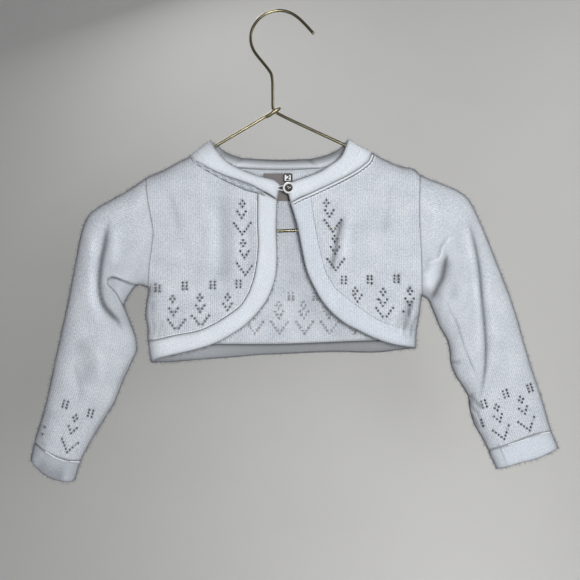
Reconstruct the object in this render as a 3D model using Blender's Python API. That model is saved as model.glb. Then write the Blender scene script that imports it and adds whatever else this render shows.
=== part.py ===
"""A child's bolero cardigan in fine white jersey, hanging on the thin wire hanger that holds it.

Sizes are in millimetres and become metres when a mesh is made. The origin is where the hanger's hook
bears on its support. +X is the viewer's right, the fronts face -Y and +Z is up. The hanger's wire lies in
the plane Y = 0, the back hangs behind it and the fronts before it. Right and left are the wearer's.

Every cloth face is found the same way: its place across and down (x, z) comes from outlines and seams,
and its depth grows from nothing at a fold, such as a shoulder or a side, to the garment's half depth.
"""
import math

import bpy
import numpy as np

MM = 0.001

# Walls and seams
WALL = 1.2
BAND_WALL = 2.4
BAND_RISE = 0.8
LABEL_WALL = 1.0
SEAM_GAP = 0.3

# Where the eye is from which the outlines below were measured, as if all of them lay in the hanger's plane
EYE = (11.0, -800.0, -278.0)

# Depth of the hanging cloth: half depth at the outer faces, and how far from a fold it is reached
BODY_HALF_DEPTH = 9.5
FOLD_REACH = 16.0
SLEEVE_FULLNESS = 2.2

# Real widths of the bands that lean back, so that they look lower from the front
HEM_BAND_WIDTH = 17.0
BACK_NECKBAND_WIDTH = 13.5
LEAN_FADE = 34.0

# How finely the walls are divided
STEP = 15.0
SLEEVE_STEP = 20.0
CORNER_STEP = 6.0
FOLD_STEPS = 4
CURVE_STEPS = 10
BAND_PARTS = 3

# Hanger wire and button
WIRE_RADIUS = 1.5
WIRE_SIDES = 8
WIRE_TURN = 8.0
BUTTON_RADIUS = 5.7
BUTTON_AT = (9.7, -177.5)
BUTTON_THICKNESS = 2.4
SHANK_RADIUS = 1.4
SHANK_HEIGHT = 1.9
LOOP_RADIUS = 0.55
LOOP_ROOT_X = -1.4

# Fold along the shoulder and the sleeve's outer side. Columns: mark, x, z
RIGHT_TOP = [
    ("neck_peak", -68.3, -128.8),
    ("", -79.0, -136.4),
    ("neck_seam", -89.0, -144.2),
    ("", -99.0, -149.2),
    ("", -114.0, -157.3),
    ("", -125.5, -162.4),
    ("armhole", -132.7, -165.6),
    ("", -151.0, -178.1),
    ("", -169.0, -188.3),
    ("", -180.5, -195.0),
    ("hanger_end", -189.2, -201.8),
    ("", -194.3, -210.0),
    ("", -198.2, -222.0),
    ("", -203.4, -248.0),
    ("", -212.4, -295.0),
    ("", -224.0, -348.0),
    ("", -232.5, -388.0),
    ("", -238.2, -408.0),
    ("cuff_seam", -245.0, -430.5),
    ("cuff_edge", -248.6, -448.0),
]
LEFT_TOP = [
    ("neck_peak", 69.3, -127.5),
    ("", 80.0, -134.0),
    ("neck_seam", 93.0, -140.6),
    ("", 105.0, -147.2),
    ("", 121.0, -154.0),
    ("", 134.5, -157.0),
    ("armhole", 140.8, -162.4),
    ("", 152.0, -167.6),
    ("", 164.0, -172.0),
    ("", 177.0, -177.6),
    ("hanger_end", 187.0, -184.2),
    ("", 194.0, -194.0),
    ("", 201.0, -209.0),
    ("", 213.0, -238.0),
    ("", 235.0, -295.5),
    ("", 245.0, -330.0),
    ("", 253.5, -358.0),
    ("", 264.0, -390.0),
    ("cuff_seam", 272.6, -419.2),
    ("cuff_edge", 279.6, -436.5),
]

# Fold along the sleeve's inner side, from the armpit down. Columns: mark, x, z
RIGHT_UNDERARM = [
    ("armpit", -130.4, -275.8),
    ("", -141.5, -273.4),
    ("", -147.5, -280.0),
    ("", -152.6, -288.0),
    ("", -154.4, -294.0),
    ("", -151.0, -303.0),
    ("", -146.0, -316.0),
    ("", -142.2, -328.0),
    ("", -142.0, -338.5),
    ("", -146.0, -348.0),
    ("", -156.0, -370.0),
    ("", -164.0, -390.0),
    ("", -175.0, -408.0),
    ("", -190.5, -434.0),
    ("cuff_seam", -198.0, -449.5),
    ("cuff_edge", -203.6, -467.5),
]
LEFT_UNDERARM = [
    ("armpit", 142.8, -283.3),
    ("", 148.6, -287.6),
    ("", 155.0, -302.0),
    ("", 161.0, -316.0),
    ("", 168.0, -328.5),
    ("", 170.6, -340.0),
    ("", 171.2, -350.0),
    ("", 176.0, -363.0),
    ("", 188.6, -383.5),
    ("", 190.3, -396.0),
    ("", 195.0, -412.0),
    ("", 203.0, -426.0),
    ("cuff_seam", 209.0, -438.5),
    ("cuff_edge", 217.0, -456.6),
]

# Fold down the body's side, from the armpit to the hem. Columns: mark, x, z
RIGHT_SIDE = [
    ("armpit", -130.4, -275.8),
    ("", -130.8, -281.0),
    ("", -132.6, -289.0),
    ("", -133.6, -305.0),
    ("", -131.6, -315.0),
    ("hem_seam", -131.4, -329.0),
    ("hem", -128.2, -350.6),
]
LEFT_SIDE = [
    ("armpit", 142.8, -283.3),
    ("", 141.5, -296.0),
    ("", 139.8, -308.0),
    ("hem_seam", 137.8, -319.0),
    ("hem", 137.2, -336.0),
]

# Seams in the fronts and the back. Columns: x, z
RIGHT_ARMHOLE = [(-132.7, -165.6), (-131.3, -185.0), (-128.0, -203.6), (-125.6, -218.7), (-127.0, -236.0),
                 (-129.2, -252.0), (-130.4, -275.8)]
LEFT_ARMHOLE = [(140.8, -162.4), (140.1, -196.7), (141.1, -225.0), (142.5, -254.0), (142.8, -283.3)]
RIGHT_NECK_SEAM = [(-89.0, -144.2), (-86.0, -148.0), (-79.0, -151.8), (-63.5, -159.8), (-52.0, -164.5),
                   (-40.5, -168.3), (-27.8, -173.1), (-21.3, -176.6)]
LEFT_NECK_SEAM = [(93.0, -140.6), (90.0, -148.4), (82.0, -155.4), (72.0, -161.8), (53.0, -171.5),
                  (41.2, -177.0), (31.5, -181.5)]
BACK_NECK_SEAM = [(-89.0, -144.2), (-80.0, -148.6), (-62.0, -153.2), (-42.0, -156.4), (0.0, -158.6),
                  (45.0, -156.0), (66.0, -151.0), (84.0, -145.0), (93.0, -140.6)]
RIGHT_BAND_SEAM_DOWN = [(-21.3, -176.6), (-21.7, -208.0), (-21.1, -236.0), (-24.6, -263.0), (-30.0, -280.0)]
RIGHT_BAND_SEAM_HEM = [(-131.4, -329.0), (-117.5, -326.4), (-106.0, -323.6), (-79.6, -318.3), (-64.7, -311.5),
                       (-48.7, -301.4), (-38.3, -293.0), (-30.0, -280.0)]
LEFT_BAND_SEAM_DOWN = [(31.5, -181.5), (36.0, -213.0), (41.0, -238.0), (47.0, -260.0), (56.0, -276.0)]
LEFT_BAND_SEAM_HEM = [(137.8, -319.0), (122.7, -316.0), (104.3, -310.3), (84.8, -298.8), (69.9, -287.4),
                      (56.0, -276.0)]
BACK_HEM_SEAM = [(-131.4, -329.0), (-110.0, -331.0), (-54.4, -331.6), (1.0, -331.5), (69.9, -328.8),
                 (98.6, -327.4), (120.0, -323.4), (137.8, -319.0)]

# Free edges. Columns: x, z
RIGHT_FRONT_EDGE = [(-2.0, -187.6), (-2.7, -219.6), (-1.8, -246.0), (-3.6, -266.0), (-8.0, -280.0),
                    (-14.2, -292.0), (-25.7, -305.7), (-37.2, -316.0), (-60.1, -329.8), (-79.6, -336.7),
                    (-106.0, -343.0), (-122.0, -347.0), (-128.2, -350.6)]
LEFT_FRONT_EDGE = [(11.5, -191.0), (18.2, -213.9), (22.8, -236.9), (27.4, -257.5), (35.4, -275.9),
                   (46.9, -294.2), (64.1, -310.3), (81.3, -319.5), (98.6, -327.5), (115.8, -332.7),
                   (137.2, -336.0)]
BACK_HEM_EDGE = [(-128.2, -350.6), (-102.6, -349.7), (-74.4, -346.8), (-45.4, -344.3), (-19.0, -341.8),
                 (1.0, -341.0), (51.0, -338.8), (95.6, -339.4), (137.2, -336.0)]
RIGHT_NECKBAND_EDGE = [(-68.3, -128.8), (-63.0, -137.4), (-58.4, -143.5), (-49.5, -151.3), (-38.0, -157.3),
                       (-27.8, -161.4), (-17.6, -164.7), (-5.0, -168.0), (1.0, -172.5)]
LEFT_NECKBAND_EDGE = [(69.3, -127.5), (66.7, -134.8), (63.7, -142.0), (59.6, -147.0), (53.0, -151.7),
                      (41.2, -159.3), (31.0, -163.4), (15.0, -169.0), (7.0, -172.5)]
BACK_NECKBAND_EDGE = [(-68.3, -128.8), (-60.4, -134.6), (-53.3, -140.0), (-38.0, -145.6), (-20.0, -147.8),
                      (0.0, -148.6), (20.0, -148.0), (41.0, -145.0), (54.0, -140.4), (62.6, -135.0),
                      (69.3, -127.5)]
RIGHT_NECKBAND_FOOT = [(-21.3, -176.6), (-11.0, -181.8), (-2.0, -187.6)]
LEFT_NECKBAND_FOOT = [(31.5, -181.5), (21.0, -185.8), (11.5, -191.0)]

# Cuffs, from the inner fold to the outer one. Columns: x, z
RIGHT_CUFF_SEAM = [(-198.0, -449.5), (-210.0, -448.7), (-224.0, -444.5), (-235.0, -438.8), (-245.0, -430.5)]
RIGHT_CUFF_EDGE = [(-203.6, -467.5), (-208.0, -469.4), (-219.7, -469.0), (-231.0, -464.8), (-241.5, -457.0),
                   (-248.6, -448.0)]
LEFT_CUFF_SEAM = [(209.0, -438.5), (228.4, -432.8), (257.0, -422.3), (272.6, -419.2)]
LEFT_CUFF_EDGE = [(217.0, -456.6), (221.5, -456.4), (241.0, -451.3), (260.0, -446.0), (279.6, -436.5)]

# Which point of the inner fold each ring of a sleeve starts at. Columns: share of outer, share of inner
RIGHT_RINGS = [(0.0, 0.0), (0.12, 0.06), (0.24, 0.125), (0.30, 0.18), (0.445, 0.28), (0.60, 0.39),
               (0.74, 0.535), (0.86, 0.71), (0.95, 0.885), (1.0, 1.0)]
LEFT_RINGS = [(0.0, 0.0), (0.10, 0.03), (0.20, 0.08), (0.30, 0.16), (0.40, 0.27), (0.50, 0.38),
              (0.70, 0.61), (0.90, 0.87), (1.0, 1.0)]

# Largest folds of the fronts and of the sleeves' front layers. Columns: rise, width, places
FRONT_FOLDS = [
    (-3.0, 5.5, [(-173.0, -214.0), (-175.0, -234.0), (-178.0, -250.0), (-179.6, -266.5), (-179.0, -280.6),
                 (-175.0, -293.6), (-168.2, -302.0), (-161.0, -310.0), (-156.0, -320.0)]),
    (2.0, 8.0, [(-186.0, -212.0), (-187.5, -250.0), (-188.0, -290.0)]),
    (-2.0, 9.0, [(-203.0, -322.0), (-193.0, -345.0), (-195.0, -378.0)]),
    (-2.6, 9.0, [(-57.0, -180.0), (-55.0, -228.0), (-53.0, -280.0)]),
    (1.4, 8.0, [(-68.0, -185.0), (-67.0, -265.0)]),
    (-2.6, 6.5, [(64.0, -200.0), (58.0, -228.0), (53.0, -256.0)]),
    (-2.8, 5.0, [(187.5, -200.0), (192.0, -216.0), (199.5, -254.0), (202.4, -287.0), (206.0, -332.0),
                 (205.5, -356.0), (201.0, -380.0)]),
    (2.4, 4.5, [(146.0, -254.0), (159.0, -248.6), (163.0, -236.0), (175.0, -225.0)]),
    (-3.2, 6.0, [(168.0, -243.0), (164.5, -262.0), (157.0, -280.0), (151.5, -290.0)]),
    (-2.2, 5.0, [(134.0, -288.0), (127.0, -304.0), (124.5, -318.0)]),
]
BACK_FOLDS = [
    (-2.0, 10.0, [(-95.0, -178.0), (-88.0, -225.0), (-90.0, -285.0)]),
    (1.6, 10.0, [(-28.0, -180.0), (-34.0, -240.0), (-31.0, -300.0)]),
    (-2.2, 9.0, [(84.0, -185.0), (78.0, -235.0), (86.0, -290.0)]),
    (-2.2, 7.0, [(-174.0, -214.0), (-180.0, -252.0), (-178.0, -290.0), (-166.0, -318.0)]),
    (-2.2, 7.0, [(186.0, -204.0), (198.0, -258.0), (204.0, -320.0), (207.0, -372.0)]),
    (-2.2, 8.0, [(-208.0, -330.0), (-200.0, -372.0), (-207.0, -410.0)]),
]

# The hanger's wire, in its own plane and then forward at the tip that is twisted over. Columns: x, y, z
HANGER_HOOK = [(34.5, 0.0, -21.5), (26.5, 0.0, -12.8), (19.0, 0.0, -5.6), (10.5, 0.0, -0.5), (0.0, 0.0, 1.5),
               (-12.0, 0.0, -1.2), (-21.6, 0.0, -8.4), (-27.0, 0.0, -18.0), (-28.2, 0.0, -28.0),
               (-26.0, 0.0, -37.0), (-21.5, 0.0, -44.0), (-12.5, 0.0, -55.0), (-7.8, 0.0, -62.0),
               (-6.3, 0.0, -70.0)]
HANGER_FRAME = [(-6.3, 0.0, -94.5), (-5.0, 0.0, -98.8), (-1.0, 0.0, -101.6), (66.0, 0.0, -133.2),
                (88.0, 0.0, -143.6), (108.0, 0.0, -152.6), (135.0, 0.0, -164.4), (160.0, 0.0, -175.2)]
RIGHT_LOOP_CENTRE = (-177.6, -213.6)
RIGHT_LOOP_RADIUS = 12.5
LEFT_LOOP_CENTRE = (176.8, -198.7)
LEFT_LOOP_RADIUS = 13.1
HANGER_TIP = [(-105.0, 0.0, -158.2), (-85.0, 0.0, -147.2), (-64.0, 0.0, -134.4), (-14.0, -1.6, -105.2),
              (-1.4, -3.5, -98.2)]

CLOTH = (0.83, 0.86, 0.89, 1.0)
TAUPE = (0.26, 0.21, 0.19, 1.0)
GOLD = (0.72, 0.55, 0.27, 1.0)
PEARL = (0.80, 0.80, 0.78, 1.0)


# Curves in the plane and in space

def smooth(points):
    """A dense smooth line through the points, with no overshoot where they are unevenly spaced."""
    given = np.asarray(points, float)
    ends = np.vstack([2 * given[0] - given[1], given, 2 * given[-1] - given[-2]])
    line = []
    for a, b, c, d in zip(ends[:-3], ends[1:-2], ends[2:-1], ends[3:]):
        ta = 0.0
        tb = ta + math.sqrt(np.linalg.norm(b - a))
        tc = tb + math.sqrt(np.linalg.norm(c - b))
        td = tc + math.sqrt(np.linalg.norm(d - c))
        for t in np.linspace(tb, tc, CURVE_STEPS, endpoint=False):
            ab = ((tb - t) * a + (t - ta) * b) / (tb - ta)
            bc = ((tc - t) * b + (t - tb) * c) / (tc - tb)
            cd = ((td - t) * c + (t - tc) * d) / (td - tc)
            abc = ((tc - t) * ab + (t - ta) * bc) / (tc - ta)
            bcd = ((td - t) * bc + (t - tb) * cd) / (td - tb)
            line.append(((tc - t) * abc + (t - tb) * bcd) / (tc - tb))
    line.append(given[-1])
    return np.array(line)


def lengths(line):
    """How far along the line each of its points is."""
    return np.concatenate([[0.0], np.cumsum(np.linalg.norm(np.diff(line, axis=0), axis=1))])


def at_shares(line, shares):
    """Points at these shares of the line's length."""
    along = lengths(line)
    where = np.asarray(shares) * along[-1]
    return np.stack([np.interp(where, along, line[:, k]) for k in range(line.shape[1])], axis=1)


def stretch_of(table, first, last):
    """The stretch of a marked fold between two of its marks."""
    marks = [row[0] for row in table]
    line = smooth([row[1:] for row in table])
    return line[marks.index(first) * CURVE_STEPS:marks.index(last) * CURVE_STEPS + 1]


def join(*lines):
    """Lines that follow each other, as one."""
    return np.vstack([lines[0]] + [line[1:] for line in lines[1:]])


def stops(length, breaks=(), folds=(), step=STEP):
    """Shares of a length at which a wall is divided, closer beside each fold.

    A fold is (place, way): the small steps lead from the place, forwards or backwards.
    """
    fixed = {0.0, length}
    fixed.update(breaks)
    for place, way in folds:
        for k in range(FOLD_STEPS + 1):
            fixed.add(place + way * FOLD_REACH * (1 - math.cos(math.pi / 2 * k / FOLD_STEPS)))
    knots = sorted(k for k in fixed if 0.0 <= k <= length)
    places = []
    for a, b in zip(knots[:-1], knots[1:]):
        parts = max(1, round((b - a) / step))
        places += list(np.linspace(a, b, parts, endpoint=False))
    return np.array(places + [length]) / length


def shares_of(points):
    """Share of the length at which each point of a divided line lies."""
    along = lengths(points)
    return along / along[-1]


def patch(top, bottom, left, right):
    """A grid of (x, z) between four divided edges that meet at the corners: rows go down, columns across."""
    u = shares_of(top)[None, :, None]
    v = shares_of(left)[:, None, None]
    ruled_down = (1 - v) * top[None] + v * bottom[None]
    ruled_across = (1 - u) * left[:, None] + u * right[:, None]
    corners = ((1 - u) * (1 - v) * top[0] + u * (1 - v) * top[-1]
               + (1 - u) * v * bottom[0] + u * v * bottom[-1])
    return ruled_down + ruled_across - corners


def band(seam, free, start=None, end=None):
    """A grid from a divided seam to its free edge, whose two ends are straight unless a line is given."""
    across = np.linspace(0.0, 1.0, BAND_PARTS + 1)
    ends = []
    for line, row in ((start, 0), (end, -1)):
        ends.append(at_shares(np.array([seam[row], free[row]]) if line is None else line, across))
    return patch(ends[0], ends[1], seam, free)


# Depth of the cloth

def nearest(points, line):
    """For each point of a flat list: distance from a line, way to it, direction of the line and share of it."""
    start = line[:-1]
    run = line[1:] - start
    size = np.linalg.norm(run, axis=1)
    offset = points[:, None] - start[None]
    share = np.clip((offset * run[None]).sum(axis=2) / (size ** 2)[None], 0.0, 1.0)
    way = share[..., None] * run[None] - offset
    gap = np.linalg.norm(way, axis=2)
    near = gap.argmin(axis=1)
    rows = np.arange(len(points))
    along = (lengths(line)[near] + share[rows, near] * size[near]) / size.sum()
    return gap[rows, near], way[rows, near], run[near] / size[near, None], along


def relief(points, folds):
    """Rise of the cloth from its folds, each of them fading out towards its two ends."""
    flat = points.reshape(-1, 2)
    rise = np.zeros(len(flat))
    for height, width, places in folds:
        distance, _, _, place = nearest(flat, smooth(places))
        fade = np.clip(np.minimum(place, 1 - place) / 0.2, 0.0, 1.0)
        rise += height * fade * fade * (3 - 2 * fade) * np.exp(-(distance / width) ** 2)
    return rise.reshape(points.shape[:-1])


def fold_lines():
    """Every fold of the flattened garment, and the side on which the cloth ends: 1 is right, -1 is left."""
    tables = ((RIGHT_TOP, 1), (LEFT_TOP, -1), (RIGHT_UNDERARM, -1), (LEFT_UNDERARM, 1), (RIGHT_SIDE, 1),
              (LEFT_SIDE, -1))
    return [(smooth([row[1:] for row in table]), way) for table, way in tables]


FOLD_LINES = fold_lines()


def to_fold(points):
    """Distance of each point from the nearest fold, and the direction out of the cloth there."""
    flat = points.reshape(-1, 2)
    distance = np.full(len(flat), np.inf)
    out = np.zeros_like(flat)
    for line, side in FOLD_LINES:
        gap, way, along, _ = nearest(flat, line)
        square = side * np.stack([along[:, 1], -along[:, 0]], axis=1)
        beside = gap > 1e-6
        square[beside] = way[beside] / gap[beside, None]
        closer = gap < distance - 1e-6
        at_armpit = (np.abs(gap - distance) <= 1e-6) & ~beside
        out[closer] = square[closer]
        out[at_armpit] = (0.0, -1.0)
        distance = np.minimum(distance, gap)
    return distance.reshape(points.shape[:-1]), out.reshape(points.shape)


def outer_face(points, folds, rise=0.0):
    """Front outer face over points (x, z): its places in space and its unit normals.

    Its section is a quarter of an ellipse beside each fold. The normals leave the relief out, so both
    sides of a seam get the same ones.
    """
    distance, out = to_fold(points)
    flat_share = 1 - np.clip(distance / FOLD_REACH, 0.0, 1.0)
    swell = np.sqrt(1 - flat_share ** 2)
    full = BODY_HALF_DEPTH + rise + relief(points, folds)
    in_plane = out * (flat_share * BODY_HALF_DEPTH / FOLD_REACH)[..., None]
    place = np.stack([points[..., 0], -swell * full, points[..., 1]], axis=-1)
    normal = np.stack([in_plane[..., 0], -swell, in_plane[..., 1]], axis=-1)
    return place, normal / np.linalg.norm(normal, axis=-1, keepdims=True)


def mirrored(places, normals):
    """The same surface on the back side of the hanger's plane."""
    other = np.array([1.0, -1.0, 1.0])
    return places * other, normals * other


# Edges of the pieces

def drawn_back(grid, top=False, bottom=False, left=False, right=False):
    """Draws edges of a grid back by half a seam's gap, square to the edge. An edge is True or a mask."""
    result = grid.copy()
    for wanted, edge, inner in ((top, np.s_[0, :], np.s_[1, :]), (bottom, np.s_[-1, :], np.s_[-2, :]),
                                (left, np.s_[:, 0], np.s_[:, 1]), (right, np.s_[:, -1], np.s_[:, -2])):
        line = grid[edge]
        along = np.gradient(line, axis=0)
        along /= np.linalg.norm(along, axis=1, keepdims=True)
        inward = grid[inner] - line
        square = inward - (inward * along).sum(axis=1, keepdims=True) * along
        room = np.maximum(np.linalg.norm(square, axis=1, keepdims=True), 1e-6)
        drawn = np.broadcast_to(wanted, len(line))[:, None]
        result[edge] += np.where(drawn, inward * (SEAM_GAP / 2) / room, 0.0)
    return result


def pulled(grid, result, corner, beyond):
    """Moves one point of a seam along the fold that it lies on, by half a seam's gap."""
    run = grid[beyond] - grid[corner]
    result[corner] = grid[corner] + run * (SEAM_GAP / 2) / np.linalg.norm(run)


def edges_of(grid, sides):
    """A mask of the named edges of a grid: t, b, l, r for top, bottom, left and right."""
    mask = np.zeros(grid.shape[:2], bool)
    for letter, edge in (("t", np.s_[0, :]), ("b", np.s_[-1, :]), ("l", np.s_[:, 0]), ("r", np.s_[:, -1])):
        if letter in sides:
            mask[edge] = True
    return mask


def set_apart(places, mask):
    """Keeps the edge of a piece on a fold half a gap from the hanger's plane, on its own side of it."""
    side = -1.0 if places[..., 1].mean() < 0 else 1.0
    places[mask, 1] = side * SEAM_GAP / 2


def side_of_body(name, lines):
    """The seams and folds of one half of the body, divided once for all the pieces that meet there."""
    shoulder = at_shares(stretch_of(lines["top"], "neck_seam", "armhole")[::-1], SHOULDER_STOPS)
    neck = at_shares(smooth(lines["neck"]), NECK_STOPS)
    armhole = at_shares(smooth(lines["armhole"]), ARMHOLE_STOPS)
    flank = at_shares(stretch_of(lines["side"], "armpit", "hem_seam"), FLANK_STOPS)
    upper = join(shoulder, neck)
    outer = join(armhole, flank)
    return {
        "name": name,
        "shoulder": shoulder,
        "neck": neck,
        "armhole": armhole,
        "upper": upper,
        "outer": outer,
        "band_down": at_shares(smooth(lines["band_down"]), shares_of(outer)),
        "band_hem": at_shares(smooth(lines["band_hem"]), shares_of(upper)),
        "cuff_seam": at_shares(smooth(lines["cuff_seam"]), shares_of(armhole)),
        "lines": lines,
    }


RIGHT_LINES = {
    "top": RIGHT_TOP, "underarm": RIGHT_UNDERARM, "side": RIGHT_SIDE, "armhole": RIGHT_ARMHOLE,
    "neck": RIGHT_NECK_SEAM, "band_down": RIGHT_BAND_SEAM_DOWN, "band_hem": RIGHT_BAND_SEAM_HEM,
    "front_edge": RIGHT_FRONT_EDGE, "cuff_seam": RIGHT_CUFF_SEAM, "cuff_edge": RIGHT_CUFF_EDGE,
    "rings": RIGHT_RINGS, "neckband_edge": RIGHT_NECKBAND_EDGE, "neckband_foot": RIGHT_NECKBAND_FOOT,
}
LEFT_LINES = {
    "top": LEFT_TOP, "underarm": LEFT_UNDERARM, "side": LEFT_SIDE, "armhole": LEFT_ARMHOLE,
    "neck": LEFT_NECK_SEAM, "band_down": LEFT_BAND_SEAM_DOWN, "band_hem": LEFT_BAND_SEAM_HEM,
    "front_edge": LEFT_FRONT_EDGE, "cuff_seam": LEFT_CUFF_SEAM, "cuff_edge": LEFT_CUFF_EDGE,
    "rings": LEFT_RINGS, "neckband_edge": LEFT_NECKBAND_EDGE, "neckband_foot": LEFT_NECKBAND_FOOT,
}

SHOULDER_STOPS = stops(lengths(stretch_of(RIGHT_TOP, "neck_seam", "armhole"))[-1], folds=[(0.0, 1)])
NECK_STOPS = stops(lengths(smooth(RIGHT_NECK_SEAM))[-1], folds=[(0.0, 1)])
ARMHOLE_LENGTH = lengths(smooth(RIGHT_ARMHOLE))[-1]
ARMHOLE_STOPS = stops(ARMHOLE_LENGTH, folds=[(0.0, 1), (ARMHOLE_LENGTH, -1)])
FLANK_STOPS = stops(lengths(stretch_of(RIGHT_SIDE, "armpit", "hem_seam"))[-1], [5.0])
BACK_NECK_LENGTH = lengths(smooth(BACK_NECK_SEAM))[-1]
BACK_NECK_STOPS = stops(BACK_NECK_LENGTH, folds=[(0.0, 1), (BACK_NECK_LENGTH, -1)])
RIGHT = side_of_body("right", RIGHT_LINES)
LEFT = side_of_body("left", LEFT_LINES)
RIGHT_SHOULDER_PEAK = stretch_of(RIGHT_TOP, "neck_peak", "neck_seam")[::-1]
LEFT_SHOULDER_PEAK = stretch_of(LEFT_TOP, "neck_peak", "neck_seam")[::-1]
BACK_NECK = at_shares(smooth(BACK_NECK_SEAM), BACK_NECK_STOPS)
BACK_TOP = join(RIGHT["shoulder"], BACK_NECK, LEFT["shoulder"][::-1])
BACK_HEM = at_shares(smooth(BACK_HEM_SEAM), shares_of(BACK_TOP))


# Solids

def wall(name, places, normals, held, thickness, closed=False):
    """A closed wall of cloth from its outer face. The columns join up where it is closed.

    The given normals are kept where held is true, which is on seams and folds.
    """
    rows, columns = places.shape[:2]
    down = np.gradient(places, axis=0)
    across = np.gradient(places, axis=1)
    if closed:
        across = np.roll(places, -1, axis=1) - np.roll(places, 1, axis=1)
    square = np.cross(down, across)
    outwards = (square * normals).sum() > 0
    square *= (1.0 if outwards else -1.0) / np.linalg.norm(square, axis=-1, keepdims=True)
    inwards = np.where(held[..., None], normals, square) * -thickness
    points = np.concatenate([places.reshape(-1, 3), (places + inwards).reshape(-1, 3)])
    half = rows * columns
    faces = []

    def panel(a, b, c, d):
        loop = (a, b, c, d) if outwards else (d, c, b, a)
        faces.append((loop[0], loop[1], loop[2]))
        faces.append((loop[0], loop[2], loop[3]))

    spans = columns if closed else columns - 1
    for i in range(rows - 1):
        for j in range(spans):
            k = (j + 1) % columns
            a, b, c, d = i * columns + j, i * columns + k, (i + 1) * columns + k, (i + 1) * columns + j
            panel(d, c, b, a)
            panel(half + b, half + c, half + d, half + a)
    for j in range(spans):
        k = (j + 1) % columns
        last = (rows - 1) * columns
        panel(j, k, half + k, half + j)
        panel(last + k, last + j, half + last + j, half + last + k)
    if not closed:
        for i in range(rows - 1):
            a, d = i * columns, (i + 1) * columns
            b, c = a + columns - 1, d + columns - 1
            panel(d, a, half + a, half + d)
            panel(b, c, half + c, half + b)
    return solid(name, points, faces, CLOTH)


def as_seen(points):
    """Draws points towards the line of sight where they lie before the hanger's plane, to keep their outline."""
    eye = np.array(EYE)
    share = 1 + points[:, 1:2] / -eye[1]
    places = eye + (points - eye) * share
    places[:, 1] = points[:, 1]
    return places


def solid(name, points, faces, colour, metallic=0.0, roughness=0.85):
    """An object with its own material, from points in millimetres."""
    mesh = bpy.data.meshes.new(name)
    mesh.from_pydata([tuple(p) for p in as_seen(np.asarray(points)) * MM], [], faces)
    mesh.update()
    item = bpy.data.objects.new(name, mesh)
    bpy.context.scene.collection.objects.link(item)
    material = bpy.data.materials.new(name)
    material.use_nodes = True
    shader = material.node_tree.nodes["Principled BSDF"]
    shader.inputs["Base Color"].default_value = colour
    shader.inputs["Metallic"].default_value = metallic
    shader.inputs["Roughness"].default_value = roughness
    mesh.materials.append(material)
    return item


def rod(name, path, radius, sides, colour, metallic=0.0, roughness=0.85):
    """A round rod along a path, with flat ends."""
    path = np.asarray(path, float)
    ahead = np.gradient(path, axis=0)
    ahead /= np.linalg.norm(ahead, axis=1, keepdims=True)
    side = np.cross(ahead[0], (0.0, 1.0, 0.0))
    side /= np.linalg.norm(side)
    points = []
    for place, direction in zip(path, ahead):
        side = side - direction * side.dot(direction)
        side /= np.linalg.norm(side)
        other = np.cross(direction, side)
        for k in range(sides):
            turn = 2 * math.pi * k / sides
            points.append(place + radius * (math.cos(turn) * side + math.sin(turn) * other))
    faces = [tuple(reversed(range(sides))), tuple(range(len(points) - sides, len(points)))]
    for i in range(len(path) - 1):
        for k in range(sides):
            m = (k + 1) % sides
            a, b, c, d = i * sides + k, i * sides + m, (i + 1) * sides + m, (i + 1) * sides + k
            faces.append((a, b, c, d))
    return solid(name, points, faces, colour, metallic, roughness)


def thinned(path, turn=WIRE_TURN):
    """The path without the points that lie on its straight stretches."""
    kept = [path[0]]
    for here, beyond in zip(path[1:-1], path[2:]):
        a = here - kept[-1]
        b = beyond - here
        if math.degrees(math.acos(np.clip(a.dot(b) / np.linalg.norm(a) / np.linalg.norm(b), -1, 1))) > turn / 2:
            kept.append(here)
    return np.array(kept + [path[-1]])


# Body

def front(half):
    """A front panel, from its shoulder fold to the seam of its band."""
    grid = patch(half["upper"], half["band_hem"], half["outer"], half["band_down"])
    rows, columns = grid.shape[:2]
    on_shoulder = np.arange(columns) < len(half["shoulder"])
    armpit = len(half["armhole"]) - 1
    on_side = np.arange(rows) >= armpit
    seams = drawn_back(grid, top=~on_shoulder, bottom=True, left=np.arange(rows) <= armpit, right=True)
    pulled(grid, seams, (0, 0), (0, 1))
    pulled(grid, seams, (0, len(half["shoulder"]) - 1), (0, len(half["shoulder"]) - 2))
    pulled(grid, seams, (-1, 0), (-2, 0))
    _, normals = outer_face(grid, FRONT_FOLDS)
    places, _ = outer_face(seams, FRONT_FOLDS)
    on_fold = np.zeros((rows, columns), bool)
    on_fold[0] = on_shoulder
    on_fold[on_side, 0] = True
    set_apart(places, on_fold)
    wall(half["name"] + "_front", places, normals, edges_of(grid, "tblr"), WALL)


def back():
    """The back panel, with both shoulders, the neck between them and both armholes."""
    grid = patch(BACK_TOP, BACK_HEM, RIGHT["outer"], LEFT["outer"])
    rows, columns = grid.shape[:2]
    first_neck = len(SHOULDER_STOPS) - 1
    last_neck = columns - len(SHOULDER_STOPS)
    armpit = len(ARMHOLE_STOPS) - 1
    place = np.arange(columns)
    on_shoulder = (place <= first_neck) | (place >= last_neck)
    on_side = np.arange(rows) >= armpit
    at_armhole = np.arange(rows) <= armpit
    seams = drawn_back(grid, top=~on_shoulder, bottom=True, left=at_armhole, right=at_armhole)
    for column, beside, neck, way in ((0, 1, first_neck, -1), (-1, -2, last_neck, 1)):
        pulled(grid, seams, (0, column), (0, beside))
        pulled(grid, seams, (0, neck), (0, neck + way))
        pulled(grid, seams, (-1, column), (-2, column))
    _, normals = mirrored(*outer_face(grid, BACK_FOLDS))
    places, _ = mirrored(*outer_face(seams, BACK_FOLDS))
    on_fold = np.zeros((rows, columns), bool)
    on_fold[0] = on_shoulder
    on_fold[on_side, 0] = True
    on_fold[on_side, -1] = True
    set_apart(places, on_fold)
    wall("back", places, normals, edges_of(grid, "tblr"), WALL)


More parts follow.
